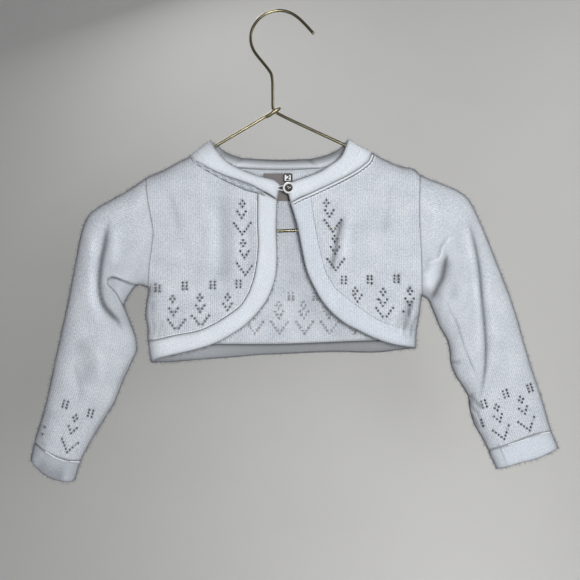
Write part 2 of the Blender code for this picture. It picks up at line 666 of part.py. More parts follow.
def front_band(half):
    """The band from the neck round the curved front edge to the side seam."""
    seam = join(half["band_down"], half["band_hem"][::-1])
    free = at_shares(smooth(half["lines"]["front_edge"]), shares_of(seam))
    grid = band(seam, free, end=stretch_of(half["lines"]["side"], "hem_seam", "hem"))
    seams = drawn_back(grid, top=True, left=True)
    pulled(grid, seams, (-1, 0), (-1, 1))
    _, normals = outer_face(grid, FRONT_FOLDS, BAND_RISE)
    places, _ = outer_face(seams, FRONT_FOLDS, BAND_RISE)
    on_fold = np.zeros(grid.shape[:2], bool)
    on_fold[-1] = True
    set_apart(places, on_fold)
    wall(half["name"] + "_front_band", places, normals, edges_of(grid, "tbl"), BAND_WALL)


def leaning(grid, places, width):
    """Leans a band back towards its free edge, so that it keeps its width, except near both of its ends."""
    seen = np.linalg.norm(grid[:, -1] - grid[:, 0], axis=1)
    along = lengths(grid[:, 0])
    fade = np.clip(np.minimum(along, along[-1] - along) / LEAN_FADE, 0.0, 1.0)
    lean = np.sqrt(np.maximum(width ** 2 - seen ** 2, 0.0)) * fade * fade * (3 - 2 * fade)
    share = np.linspace(0.0, 1.0, grid.shape[1])
    places = places.copy()
    places[..., 1] += lean[:, None] * share[None]
    return places


def back_hem_band():
    """The band along the back hem, which leans back except near the side seams."""
    free = at_shares(smooth(BACK_HEM_EDGE), shares_of(BACK_HEM))
    grid = band(BACK_HEM, free, *(stretch_of(side, "hem_seam", "hem") for side in (RIGHT_SIDE, LEFT_SIDE)))
    seams = drawn_back(grid, left=True)
    pulled(grid, seams, (0, 0), (0, 1))
    pulled(grid, seams, (-1, 0), (-1, 1))
    _, normals = mirrored(*outer_face(grid, BACK_FOLDS, BAND_RISE))
    places, _ = mirrored(*outer_face(seams, BACK_FOLDS, BAND_RISE))
    places = leaning(grid, places, HEM_BAND_WIDTH)
    on_fold = np.zeros(grid.shape[:2], bool)
    on_fold[0] = True
    on_fold[-1] = True
    set_apart(places, on_fold)
    wall("back_hem_band", places, normals, edges_of(grid, "tbl"), BAND_WALL)


def neckband():
    """The band round the neck: right front, over the right shoulder, back, over the left one, left front."""
    stretches = []
    for half in (RIGHT, None, LEFT):
        if half is None:
            edge = at_shares(smooth(BACK_NECKBAND_EDGE), shares_of(BACK_NECK))
            grid = band(BACK_NECK, edge, RIGHT_SHOULDER_PEAK, LEFT_SHOULDER_PEAK)
        else:
            end = smooth(half["lines"]["neckband_foot"])
            end = at_shares(end, stops(lengths(end)[-1]))
            foot = join(half["neck"], end)
            edge = at_shares(smooth(half["lines"]["neckband_edge"]), shares_of(foot))
            grid = band(foot, edge, RIGHT_SHOULDER_PEAK if half is RIGHT else LEFT_SHOULDER_PEAK)
        seams = drawn_back(grid, left=True)
        for row in (0, -1) if half is None else (0,):
            pulled(grid, seams, (row, 0), (row, 1))
        _, normals = outer_face(grid, [], BAND_RISE)
        places, _ = outer_face(seams, [], BAND_RISE)
        held = edges_of(grid, "tbl" if half is None else "tl")
        if half is None:
            places, normals = mirrored(places, normals)
            places = leaning(grid, places, BACK_NECKBAND_WIDTH)
        way = -1 if half is RIGHT else 1
        stretches.append((places[::way], normals[::way], held[::way]))
    places, normals, held = (join(*[stretch[k] for stretch in stretches]) for k in range(3))
    wall("neckband", places, normals, held, BAND_WALL)


# Sleeves and cuffs

def tube(name, grid, seams, rise, thickness, front_folds=(), back_folds=()):
    """A flattened tube: its front layer, and its back layer on the same places, joined at both folds."""
    layers = []
    for folds, turn in ((front_folds, False), (back_folds, True)):
        _, normals = outer_face(grid, folds, rise)
        places, _ = outer_face(seams, folds, rise)
        places[:, 0, 1] = 0.0
        places[:, -1, 1] = 0.0
        if turn:
            places, normals = mirrored(places[:, -2:0:-1], normals[:, -2:0:-1])
        layers.append((places, normals))
    places, normals = (np.concatenate([layer[k] for layer in layers], axis=1) for k in range(2))
    held = edges_of(places, "tbl" if name.endswith("sleeve") else "tl")
    held[:, grid.shape[1] - 1] = True
    wall(name, places, normals, held, thickness, closed=True)


def sleeve(half):
    """A sleeve from its armhole seam to its cuff seam."""
    outer = stretch_of(half["lines"]["top"], "armhole", "cuff_seam")
    inner = stretch_of(half["lines"]["underarm"], "armpit", "cuff_seam")
    corner = lengths(stretch_of(half["lines"]["top"], "armhole", "hanger_end"))[-1]
    down = stops(lengths(outer)[-1], [corner + k * CORNER_STEP for k in range(-2, 3)], step=SLEEVE_STEP)
    rings = half["lines"]["rings"]
    inner_shares = np.interp(down, [row[0] for row in rings], [row[1] for row in rings])
    grid = patch(half["armhole"][::-1], half["cuff_seam"], at_shares(inner, inner_shares), at_shares(outer, down))
    seams = drawn_back(grid, top=True, bottom=True)
    rise = SLEEVE_FULLNESS * np.sin(math.pi * down)[:, None]
    tube(half["name"] + "_sleeve", grid, seams, rise, WALL, FRONT_FOLDS, BACK_FOLDS)


def cuff(half):
    """The double band at a sleeve's end."""
    down = np.linspace(0.0, 1.0, BAND_PARTS + 1)
    grid = patch(half["cuff_seam"], at_shares(smooth(half["lines"]["cuff_edge"]), shares_of(half["cuff_seam"])),
                 at_shares(stretch_of(half["lines"]["underarm"], "cuff_seam", "cuff_edge"), down),
                 at_shares(stretch_of(half["lines"]["top"], "cuff_seam", "cuff_edge"), down))
    tube(half["name"] + "_cuff", grid, drawn_back(grid, top=True), BAND_RISE, BAND_WALL)


# Fastening, labels and hanger

def turned(name, profile, centre, sides, colour, metallic, roughness):
    """A piece turned about an axis along Y. Columns of the profile: radius, y."""
    points = []
    for radius, y in profile[1:-1]:
        for k in range(sides):
            turn = 2 * math.pi * k / sides
            points.append((centre[0] + radius * math.cos(turn), y, centre[1] + radius * math.sin(turn)))
    first = len(points)
    points.append((centre[0], profile[0][1], centre[1]))
    points.append((centre[0], profile[-1][1], centre[1]))
    faces = []
    for k in range(sides):
        m = (k + 1) % sides
        faces.append((first, m, k))
        for i in range(len(profile) - 3):
            a, b = i * sides + k, i * sides + m
            faces.append((a, b + sides, a + sides))
            faces.append((a, b, b + sides))
        last = (len(profile) - 3) * sides
        faces.append((first + 1, last + k, last + m))
    return solid(name, points, faces, colour, metallic, roughness)


def build_fastening():
    """The button on its shank, and the thread loop that goes round the shank."""
    face = -(BODY_HALF_DEPTH + BAND_RISE)
    foot = face - SEAM_GAP
    rear = foot - SHANK_HEIGHT
    front_face = rear - BUTTON_THICKNESS
    profile = [(0.0, foot), (SHANK_RADIUS, foot), (SHANK_RADIUS, rear), (BUTTON_RADIUS - 0.6, rear),
               (BUTTON_RADIUS, rear - 0.8), (BUTTON_RADIUS - 0.5, front_face),
               (BUTTON_RADIUS - 1.6, front_face + 0.1), (BUTTON_RADIUS - 2.1, front_face + 0.7),
               (0.0, front_face + 0.2)]
    turned("button", profile, BUTTON_AT, 24, PEARL, 0.2, 0.25)
    x, z = BUTTON_AT
    level = foot - SHANK_HEIGHT / 2
    round_shank = SHANK_RADIUS + SEAM_GAP + LOOP_RADIUS + 0.1
    path = [(LOOP_ROOT_X, level + 0.1, z + 1.4), (x - 5.0, level, z + round_shank)]
    for k in range(7):
        turn = math.radians(90 - 30 * k)
        path.append((x + round_shank * math.cos(turn), level, z + round_shank * math.sin(turn)))
    path += [(x - 5.0, level, z - round_shank), (LOOP_ROOT_X, level + 0.1, z - 1.4)]
    rod("button_loop", path, LOOP_RADIUS, 6, CLOTH)


def plate(name, left, right, low, high, rear, thickness, colour):
    """A flat label with its rear face at this depth."""
    corners = [(x, y, z) for y in (rear - thickness, rear) for x, z in
               ((left, low), (right, low), (right, high), (left, high))]
    faces = [(0, 1, 2, 3), (7, 6, 5, 4), (0, 4, 5, 1), (1, 5, 6, 2), (2, 6, 7, 3), (3, 7, 4, 0)]
    return solid(name, corners, faces, colour)


def build_labels():
    """The label sewn into the back neck seam, and the size tab before it."""
    rear = BODY_HALF_DEPTH - WALL - SEAM_GAP
    plate("neck_label", -16.0, 13.6, -188.2, -160.2, rear, LABEL_WALL, TAUPE)
    plate("size_label", 4.0, 13.4, -169.6, -160.4, rear - LABEL_WALL - SEAM_GAP, LABEL_WALL, CLOTH)


def arc(centre, radius, first, last):
    """Points of an arc in the hanger's plane, by its angles in degrees."""
    turns = np.radians(np.linspace(first, last, 13))
    return np.stack([centre[0] + radius * np.cos(turns), np.zeros(13),
                     centre[1] + radius * np.sin(turns)], axis=1)


def build_hanger():
    """One wire: hook, stem, left arm, left end, bar, right end, right arm and the tip laid over the bend."""
    left_end = arc(LEFT_LOOP_CENTRE, LEFT_LOOP_RADIUS, 66.0, -88.0)
    right_end = arc(RIGHT_LOOP_CENTRE, RIGHT_LOOP_RADIUS, 272.0, 119.0)
    path = np.vstack([thinned(smooth(HANGER_HOOK)), HANGER_FRAME, left_end, right_end, HANGER_TIP])
    rod("hanger", path, WIRE_RADIUS, WIRE_SIDES, GOLD, 1.0, 0.28)


def main():
    for item in list(bpy.data.objects):
        bpy.data.objects.remove(item, do_unlink=True)
    back()
    back_hem_band()
    neckband()
    for half in (RIGHT, LEFT):
        front(half)
        front_band(half)
        sleeve(half)
        cuff(half)
    build_fastening()
    build_labels()
    build_hanger()


main()
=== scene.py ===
"""The looks of a child's bolero cardigan in fine white jersey on the wire hanger that holds it.

Sizes are in millimetres and become metres when a mesh is made. The origin is where the hanger's hook
bears on its support. +X is the viewer's right, the fronts face -Y and +Z is up. The hanger's wire lies in
the plane Y = 0, the back hangs behind it and the fronts before it. Right and left are the wearer's.
The outlines, seams and depths are those of the solids, and every piece here is a finer form of its solid.
"""
import math

import bpy
import numpy as np
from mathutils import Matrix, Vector
from mathutils.geometry import delaunay_2d_cdt


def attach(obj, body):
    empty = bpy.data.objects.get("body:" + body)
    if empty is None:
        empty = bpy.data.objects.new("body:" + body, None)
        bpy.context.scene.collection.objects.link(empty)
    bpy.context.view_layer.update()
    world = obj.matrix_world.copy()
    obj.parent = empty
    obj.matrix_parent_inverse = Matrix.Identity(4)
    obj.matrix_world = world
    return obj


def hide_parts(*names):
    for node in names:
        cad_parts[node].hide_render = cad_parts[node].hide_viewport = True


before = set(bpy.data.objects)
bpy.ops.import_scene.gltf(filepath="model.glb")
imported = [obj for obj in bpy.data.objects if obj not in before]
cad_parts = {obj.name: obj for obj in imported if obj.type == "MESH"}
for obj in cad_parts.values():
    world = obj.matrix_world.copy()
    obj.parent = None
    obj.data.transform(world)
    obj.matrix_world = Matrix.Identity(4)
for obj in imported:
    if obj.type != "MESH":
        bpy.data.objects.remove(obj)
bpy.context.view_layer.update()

MM = 0.001

# Walls and seams
WALL = 1.0
BAND_WALL = 2.2
BAND_RISE = 0.8
SEAM_GAP = 0.3
EDGE_ROUND = 0.55
BAND_ROUND = 1.1

# Where the eye is from which the outlines below were measured, as if all of them lay in the hanger's plane
EYE = (11.0, -800.0, -278.0)
VIEW_WIDTH = 580.0

# Depth of the hanging cloth: half depth at the outer faces, and how far from a fold it is reached
BODY_HALF_DEPTH = 9.5
FOLD_REACH = 16.0
SLEEVE_FULLNESS = 2.2

# Real widths of the bands that lean back, so that they look lower from the front
HEM_BAND_WIDTH = 17.0
BACK_NECKBAND_WIDTH = 13.5
LEAN_FADE = 34.0

# How finely the cloth is divided
STEP = 2.1
SLEEVE_STEP = 1.7
CORNER_STEP = 6.0
FOLD_STEPS = 8
CURVE_STEPS = 10
BAND_PARTS = 14

# Knit: width of a wale, height of a course, radius of an eyelet
WALE = 2.15
COURSE = 1.5
EYELET_RADIUS = 1.02
EYELET_SIDES = 8
# In radii of the eyelet: reach of the cells that it cuts, room that it keeps from their corners,
# and its flat sides
EYELET_MARGIN = 1.7
EYELET_ROOM = 1.25
EYELET_FLAT = 0.922

# Hanger wire and button
WIRE_RADIUS = 1.5
BUTTON_RADIUS = 5.7
BUTTON_AT = (9.7, -177.5)
BUTTON_THICKNESS = 2.4
SHANK_RADIUS = 1.4
SHANK_HEIGHT = 1.9
LOOP_RADIUS = 0.5
LOOP_ROOT_X = -1.4


def marked(points, **marks):
    """Rows of a fold: mark, x, z. A mark is given with the number of its point."""
    names = {place: mark for mark, place in marks.items()}
    return [(names.get(k, ""),) + point for k, point in enumerate(points)]


# Fold along the shoulder and the sleeve's outer side. Columns: x, z
RIGHT_TOP = marked([
    (-68.3, -128.8), (-79.0, -136.4), (-89.0, -144.2), (-99.0, -149.2), (-114.0, -157.3), (-125.5, -162.4),
    (-132.7, -165.6), (-151.0, -178.1), (-169.0, -188.3), (-180.5, -195.0), (-189.2, -201.8),
    (-194.3, -210.0), (-198.2, -222.0), (-203.4, -248.0), (-212.4, -295.0), (-224.0, -348.0),
    (-232.5, -388.0), (-238.2, -408.0), (-245.0, -430.5), (-248.6, -448.0)],
    neck_peak=0, neck_seam=2, armhole=6, hanger_end=10, cuff_seam=18, cuff_edge=19)
LEFT_TOP = marked([
    (69.3, -127.5), (80.0, -134.0), (93.0, -140.6), (105.0, -147.2), (121.0, -154.0), (134.5, -157.0),
    (140.8, -162.4), (152.0, -167.6), (164.0, -172.0), (177.0, -177.6), (187.0, -184.2), (194.0, -194.0),
    (201.0, -209.0), (213.0, -238.0), (235.0, -295.5), (245.0, -330.0), (253.5, -358.0), (264.0, -390.0),
    (272.6, -419.2), (279.6, -436.5)],
    neck_peak=0, neck_seam=2, armhole=6, hanger_end=10, cuff_seam=18, cuff_edge=19)

# Fold along the sleeve's inner side, from the armpit down. Columns: x, z
RIGHT_UNDERARM = marked([
    (-130.4, -275.8), (-141.5, -273.4), (-147.5, -280.0), (-152.6, -288.0), (-154.4, -294.0),
    (-151.0, -303.0), (-146.0, -316.0), (-142.2, -328.0), (-142.0, -338.5), (-146.0, -348.0),
    (-156.0, -370.0), (-164.0, -390.0), (-175.0, -408.0), (-190.5, -434.0), (-198.0, -449.5),
    (-203.6, -467.5)],
    armpit=0, cuff_seam=14, cuff_edge=15)
LEFT_UNDERARM = marked([
    (142.8, -283.3), (148.6, -287.6), (155.0, -302.0), (161.0, -316.0), (168.0, -328.5), (170.6, -340.0),
    (171.2, -350.0), (176.0, -363.0), (188.6, -383.5), (190.3, -396.0), (195.0, -412.0), (203.0, -426.0),
    (209.0, -438.5), (217.0, -456.6)],
    armpit=0, cuff_seam=12, cuff_edge=13)

# Fold down the body's side, from the armpit to the hem. Columns: x, z
RIGHT_SIDE = marked([
    (-130.4, -275.8), (-130.8, -281.0), (-132.6, -289.0), (-133.6, -305.0), (-131.6, -315.0),
    (-131.4, -329.0), (-128.2, -350.6)],
    armpit=0, hem_seam=5, hem=6)
LEFT_SIDE = marked([
    (142.8, -283.3), (141.5, -296.0), (139.8, -308.0), (137.8, -319.0), (137.2, -336.0)],
    armpit=0, hem_seam=3, hem=4)

# Seams in the fronts and the back. Columns: x, z
RIGHT_ARMHOLE = [(-132.7, -165.6), (-131.3, -185.0), (-128.0, -203.6), (-125.6, -218.7), (-127.0, -236.0),
                 (-129.2, -252.0), (-130.4, -275.8)]
LEFT_ARMHOLE = [(140.8, -162.4), (140.1, -196.7), (141.1, -225.0), (142.5, -254.0), (142.8, -283.3)]
RIGHT_NECK_SEAM = [(-89.0, -144.2), (-86.0, -148.0), (-79.0, -151.8), (-63.5, -159.8), (-52.0, -164.5),
                   (-40.5, -168.3), (-27.8, -173.1), (-21.3, -176.6)]
LEFT_NECK_SEAM = [(93.0, -140.6), (90.0, -148.4), (82.0, -155.4), (72.0, -161.8), (53.0, -171.5),
                  (41.2, -177.0), (31.5, -181.5)]
BACK_NECK_SEAM = [(-89.0, -144.2), (-80.0, -148.6), (-62.0, -153.2), (-42.0, -156.4), (0.0, -158.6),
                  (45.0, -156.0), (66.0, -151.0), (84.0, -145.0), (93.0, -140.6)]
RIGHT_BAND_SEAM_DOWN = [(-21.3, -176.6), (-21.7, -208.0), (-21.1, -236.0), (-24.6, -263.0), (-30.0, -280.0)]
RIGHT_BAND_SEAM_HEM = [(-131.4, -329.0), (-117.5, -326.4), (-106.0, -323.6), (-79.6, -318.3), (-64.7, -311.5),
                       (-48.7, -301.4), (-38.3, -293.0), (-30.0, -280.0)]
LEFT_BAND_SEAM_DOWN = [(31.5, -181.5), (36.0, -213.0), (41.0, -238.0), (47.0, -260.0), (56.0, -276.0)]
LEFT_BAND_SEAM_HEM = [(137.8, -319.0), (122.7, -316.0), (104.3, -310.3), (84.8, -298.8), (69.9, -287.4),
                      (56.0, -276.0)]
BACK_HEM_SEAM = [(-131.4, -329.0), (-110.0, -331.0), (-54.4, -331.6), (1.0, -331.5), (69.9, -328.8),
                 (98.6, -327.4), (120.0, -323.4), (137.8, -319.0)]

# Free edges. Columns: x, z
RIGHT_FRONT_EDGE = [(-2.0, -187.6), (-2.7, -219.6), (-1.8, -246.0), (-3.6, -266.0), (-8.0, -280.0),
                    (-14.2, -292.0), (-25.7, -305.7), (-37.2, -316.0), (-60.1, -329.8), (-79.6, -336.7),
                    (-106.0, -343.0), (-122.0, -347.0), (-128.2, -350.6)]
LEFT_FRONT_EDGE = [(11.5, -191.0), (18.2, -213.9), (22.8, -236.9), (27.4, -257.5), (35.4, -275.9),
                   (46.9, -294.2), (64.1, -310.3), (81.3, -319.5), (98.6, -327.5), (115.8, -332.7),
                   (137.2, -336.0)]
BACK_HEM_EDGE = [(-128.2, -350.6), (-102.6, -349.7), (-74.4, -346.8), (-45.4, -344.3), (-19.0, -341.8),
                 (1.0, -341.0), (51.0, -338.8), (95.6, -339.4), (137.2, -336.0)]
RIGHT_NECKBAND_EDGE = [(-68.3, -128.8), (-63.0, -137.4), (-58.4, -143.5), (-49.5, -151.3), (-38.0, -157.3),
                       (-27.8, -161.4), (-17.6, -164.7), (-5.0, -168.0), (1.0, -172.5)]
LEFT_NECKBAND_EDGE = [(69.3, -127.5), (66.7, -134.8), (63.7, -142.0), (59.6, -147.0), (53.0, -151.7),
                      (41.2, -159.3), (31.0, -163.4), (15.0, -169.0), (7.0, -172.5)]
BACK_NECKBAND_EDGE = [(-68.3, -128.8), (-60.4, -134.6), (-53.3, -140.0), (-38.0, -145.6), (-20.0, -147.8),
                      (0.0, -148.6), (20.0, -148.0), (41.0, -145.0), (54.0, -140.4), (62.6, -135.0),
                      (69.3, -127.5)]
RIGHT_NECKBAND_FOOT = [(-21.3, -176.6), (-11.0, -181.8), (-2.0, -187.6)]
LEFT_NECKBAND_FOOT = [(31.5, -181.5), (21.0, -185.8), (11.5, -191.0)]

# Cuffs, from the inner fold to the outer one. Columns: x, z
RIGHT_CUFF_SEAM = [(-198.0, -449.5), (-210.0, -448.7), (-224.0, -444.5), (-235.0, -438.8), (-245.0, -430.5)]
RIGHT_CUFF_EDGE = [(-203.6, -467.5), (-208.0, -469.4), (-219.7, -469.0), (-231.0, -464.8), (-241.5, -457.0),
                   (-248.6, -448.0)]
LEFT_CUFF_SEAM = [(209.0, -438.5), (228.4, -432.8), (257.0, -422.3), (272.6, -419.2)]
LEFT_CUFF_EDGE = [(217.0, -456.6), (221.5, -456.4), (241.0, -451.3), (260.0, -446.0), (279.6, -436.5)]

# Which point of the inner fold each ring of a sleeve starts at. Columns: share of outer, share of inner
RIGHT_RINGS = [(0.0, 0.0), (0.12, 0.06), (0.24, 0.125), (0.30, 0.18), (0.445, 0.28), (0.60, 0.39),
               (0.74, 0.535), (0.86, 0.71), (0.95, 0.885), (1.0, 1.0)]
LEFT_RINGS = [(0.0, 0.0), (0.10, 0.03), (0.20, 0.08), (0.30, 0.16), (0.40, 0.27), (0.50, 0.38),
              (0.70, 0.61), (0.90, 0.87), (1.0, 1.0)]

# Largest folds of the back and of the sleeves' back layers. Columns: rise, width, places
BACK_FOLDS = [
    (-2.0, 10.0, [(-95.0, -178.0), (-88.0, -225.0), (-90.0, -285.0)]),
    (1.6, 10.0, [(-28.0, -180.0), (-34.0, -240.0), (-31.0, -300.0)]),
    (-2.2, 9.0, [(84.0, -185.0), (78.0, -235.0), (86.0, -290.0)]),
    (-2.2, 7.0, [(-174.0, -214.0), (-180.0, -252.0), (-178.0, -290.0), (-166.0, -318.0)]),
    (-2.2, 7.0, [(186.0, -204.0), (198.0, -258.0), (204.0, -320.0), (207.0, -372.0)]),
    (-2.2, 8.0, [(-208.0, -330.0), (-200.0, -372.0), (-207.0, -410.0)]),
]

# The hanger's wire, in its own plane and then forward at the tip that is twisted over. Columns: x, y, z
HANGER_HOOK = [(34.5, 0.0, -21.5), (26.5, 0.0, -12.8), (19.0, 0.0, -5.6), (10.5, 0.0, -0.5), (0.0, 0.0, 1.5),
               (-12.0, 0.0, -1.2), (-21.6, 0.0, -8.4), (-27.0, 0.0, -18.0), (-28.2, 0.0, -28.0),
               (-26.0, 0.0, -37.0), (-21.5, 0.0, -44.0), (-12.5, 0.0, -55.0), (-7.8, 0.0, -62.0),
               (-6.3, 0.0, -70.0)]
HANGER_FRAME = [(-6.3, 0.0, -94.5), (-5.0, 0.0, -98.8), (-1.0, 0.0, -101.6), (66.0, 0.0, -133.2),
                (88.0, 0.0, -143.6), (108.0, 0.0, -152.6), (135.0, 0.0, -164.4), (160.0, 0.0, -175.2)]
RIGHT_LOOP_CENTRE = (-177.6, -213.6)
RIGHT_LOOP_RADIUS = 12.5
LEFT_LOOP_CENTRE = (176.8, -198.7)
LEFT_LOOP_RADIUS = 13.1
HANGER_TIP = [(-105.0, 0.0, -158.2), (-85.0, 0.0, -147.2), (-64.0, 0.0, -134.4), (-14.0, -1.6, -105.2),
              (-1.4, -3.5, -98.2)]


# Curves in the plane and in space

def smooth(points):
    """A dense smooth line through the points, with no overshoot where they are unevenly spaced."""
    given = np.asarray(points, float)
    ends = np.vstack([2 * given[0] - given[1], given, 2 * given[-1] - given[-2]])
    line = []
    for a, b, c, d in zip(ends[:-3], ends[1:-2], ends[2:-1], ends[3:]):
        ta = 0.0
        tb = ta + math.sqrt(np.linalg.norm(b - a))
        tc = tb + math.sqrt(np.linalg.norm(c - b))
        td = tc + math.sqrt(np.linalg.norm(d - c))
        for t in np.linspace(tb, tc, CURVE_STEPS, endpoint=False):
            ab = ((tb - t) * a + (t - ta) * b) / (tb - ta)
            bc = ((tc - t) * b + (t - tb) * c) / (tc - tb)
            cd = ((td - t) * c + (t - tc) * d) / (td - tc)
            abc = ((tc - t) * ab + (t - ta) * bc) / (tc - ta)
            bcd = ((td - t) * bc + (t - tb) * cd) / (td - tb)
            line.append(((tc - t) * abc + (t - tb) * bcd) / (tc - tb))
    line.append(given[-1])
    return np.array(line)


def headings(line):
    """Unit direction of a line at each of its points."""
    ahead = np.gradient(line, axis=0)
    return ahead / np.linalg.norm(ahead, axis=1, keepdims=True)


def to_left(ahead):
    """The same directions (x, z) turned a quarter to the left."""
    return np.stack([-ahead[:, 1], ahead[:, 0]], axis=1)


def lengths(line):
    """How far along the line each of its points is."""
    return np.concatenate([[0.0], np.cumsum(np.linalg.norm(np.diff(line, axis=0), axis=1))])


def at_shares(line, shares):
    """Points at these shares of the line's length."""
    along = lengths(line)
    where = np.asarray(shares) * along[-1]
    return np.stack([np.interp(where, along, line[:, k]) for k in range(line.shape[1])], axis=1)


def stretch_of(table, first, last):
    """The stretch of a marked fold between two of its marks."""
    marks = [row[0] for row in table]
    line = smooth([row[1:] for row in table])
    return line[marks.index(first) * CURVE_STEPS:marks.index(last) * CURVE_STEPS + 1]


def join(*lines):
    """Lines that follow each other, as one."""
    return np.vstack([lines[0]] + [line[1:] for line in lines[1:]])


def stops(length, breaks=(), folds=(), step=STEP):
    """Shares of a length at which a wall is divided, closer beside each fold.

    A fold is (place, way): the small steps lead from the place, forwards or backwards.
    """
    fixed = {0.0, length}
    fixed.update(breaks)
    for place, way in folds:
        for k in range(FOLD_STEPS + 1):
            fixed.add(place + way * FOLD_REACH * (1 - math.cos(math.pi / 2 * k / FOLD_STEPS)))
    knots = sorted(k for k in fixed if 0.0 <= k <= length)
    places = []
    for a, b in zip(knots[:-1], knots[1:]):
        parts = max(1, round((b - a) / step))
        places += list(np.linspace(a, b, parts, endpoint=False))
    return np.array(places + [length]) / length


def shares_of(points):
    """Share of the length at which each point of a divided line lies."""
    along = lengths(points)
    return along / along[-1]


def patch(top, bottom, left, right):
    """A grid of (x, z) between four divided edges that meet at the corners: rows go down, columns across."""
    u = shares_of(top)[None, :, None]
    v = shares_of(left)[:, None, None]
    ruled_down = (1 - v) * top[None] + v * bottom[None]
    ruled_across = (1 - u) * left[:, None] + u * right[:, None]
    corners = ((1 - u) * (1 - v) * top[0] + u * (1 - v) * top[-1]
               + (1 - u) * v * bottom[0] + u * v * bottom[-1])
    return ruled_down + ruled_across - corners


def eased(parts):
    """Shares from 0 to 1 that are close together at both ends."""
    return 0.5 - 0.5 * np.cos(np.pi * np.linspace(0.0, 1.0, parts + 1))


def band(seam, free, start=None, end=None):
    """A grid from a divided seam to its free edge, whose two ends are straight unless a line is given."""
    across = eased(BAND_PARTS)
    ends = []
    for line, row in ((start, 0), (end, -1)):
        ends.append(at_shares(np.array([seam[row], free[row]]) if line is None else line, across))
    return patch(ends[0], ends[1], seam, free)


# Depth of the cloth

def nearest(points, line):
    """For each point of a flat list: distance from a line, way to it, direction and share of the line."""
    start = line[:-1]
    run = line[1:] - start
    size = np.linalg.norm(run, axis=1)
    offset = points[:, None] - start[None]
    share = np.clip((offset * run[None]).sum(axis=2) / (size ** 2)[None], 0.0, 1.0)
    way = share[..., None] * run[None] - offset
    gap = np.linalg.norm(way, axis=2)
    near = gap.argmin(axis=1)
    rows = np.arange(len(points))
    along = (lengths(line)[near] + share[rows, near] * size[near]) / size.sum()
    return gap[rows, near], way[rows, near], run[near] / size[near, None], along


def relief(points, folds):
    """Rise of the cloth from its folds, each of them fading out towards its two ends."""
    flat = points.reshape(-1, 2)
    rise = np.zeros(len(flat))
    for height, width, places in folds:
        distance, _, _, place = nearest(flat, smooth(places))
        fade = np.clip(np.minimum(place, 1 - place) / 0.2, 0.0, 1.0)
        rise += height * fade * fade * (3 - 2 * fade) * np.exp(-(distance / width) ** 2)
    return rise.reshape(points.shape[:-1])


def fold_lines():
    """Every fold of the flattened garment, and the side on which the cloth ends: 1 is right, -1 is left."""
    tables = ((RIGHT_TOP, 1), (LEFT_TOP, -1), (RIGHT_UNDERARM, -1), (LEFT_UNDERARM, 1), (RIGHT_SIDE, 1),
              (LEFT_SIDE, -1))
    return [(smooth([row[1:] for row in table]), way) for table, way in tables]


FOLD_LINES = fold_lines()


def to_fold(points):
    """Distance of each point from the nearest fold, and the direction out of the cloth there."""
    flat = points.reshape(-1, 2)
    distance = np.full(len(flat), np.inf)
    out = np.zeros_like(flat)
    for line, side in FOLD_LINES:
        gap, way, along, _ = nearest(flat, line)
        square = side * np.stack([along[:, 1], -along[:, 0]], axis=1)
        beside = gap > 1e-6
        square[beside] = way[beside] / gap[beside, None]
        closer = gap < distance - 1e-6
        at_armpit = (np.abs(gap - distance) <= 1e-6) & ~beside
        out[closer] = square[closer]
        out[at_armpit] = (0.0, -1.0)
        distance = np.minimum(distance, gap)
    return distance.reshape(points.shape[:-1]), out.reshape(points.shape)


def outer_face(points, folds, rise=0.0):
    """Front outer face over points (x, z): its places in space and its unit normals.

    Its section is a quarter of an ellipse beside each fold. The normals leave the relief out, so both
    sides of a seam get the same ones.
    """
    distance, out = to_fold(points)
    flat_share = 1 - np.clip(distance / FOLD_REACH, 0.0, 1.0)
    swell = np.sqrt(1 - flat_share ** 2)
    full = BODY_HALF_DEPTH + rise + relief(points, folds)
    in_plane = out * (flat_share * BODY_HALF_DEPTH / FOLD_REACH)[..., None]
    place = np.stack([points[..., 0], -swell * full, points[..., 1]], axis=-1)
    normal = np.stack([in_plane[..., 0], -swell, in_plane[..., 1]], axis=-1)
    return place, normal / np.linalg.norm(normal, axis=-1, keepdims=True)


def mirrored(places, normals):
    """The same surface on the back side of the hanger's plane."""
    other = np.array([1.0, -1.0, 1.0])
    return places * other, normals * other


# Edges of the pieces

def drawn_back(grid, top=False, bottom=False, left=False, right=False):
    """Draws edges of a grid back by half a seam's gap, square to the edge. An edge is True or a mask."""
    result = grid.copy()
    for wanted, edge, inner in ((top, np.s_[0, :], np.s_[1, :]), (bottom, np.s_[-1, :], np.s_[-2, :]),
                                (left, np.s_[:, 0], np.s_[:, 1]), (right, np.s_[:, -1], np.s_[:, -2])):
        line = grid[edge]
        along = headings(line)
        inward = grid[inner] - line
        square = inward - (inward * along).sum(axis=1, keepdims=True) * along
        room = np.maximum(np.linalg.norm(square, axis=1, keepdims=True), 1e-6)
        drawn = np.broadcast_to(wanted, len(line))[:, None]
        result[edge] += np.where(drawn, inward * (SEAM_GAP / 2) / room, 0.0)
    return result


def pulled(grid, result, corner, beyond):
    """Moves one point of a seam along the fold that it lies on, by half a seam's gap."""
    run = grid[beyond] - grid[corner]
    result[corner] = grid[corner] + run * (SEAM_GAP / 2) / np.linalg.norm(run)


def edges_of(grid, sides):
    """A mask of the named edges of a grid: t, b, l, r for top, bottom, left and right."""
    mask = np.zeros(grid.shape[:2], bool)
    for letter, edge in (("t", np.s_[0, :]), ("b", np.s_[-1, :]), ("l", np.s_[:, 0]), ("r", np.s_[:, -1])):
        if letter in sides:
            mask[edge] = True
    return mask


def set_apart(places, mask):
    """Keeps the edge of a piece on a fold half a gap from the hanger's plane, on its own side of it."""
    side = -1.0 if places[..., 1].mean() < 0 else 1.0
    places[mask, 1] = side * SEAM_GAP / 2


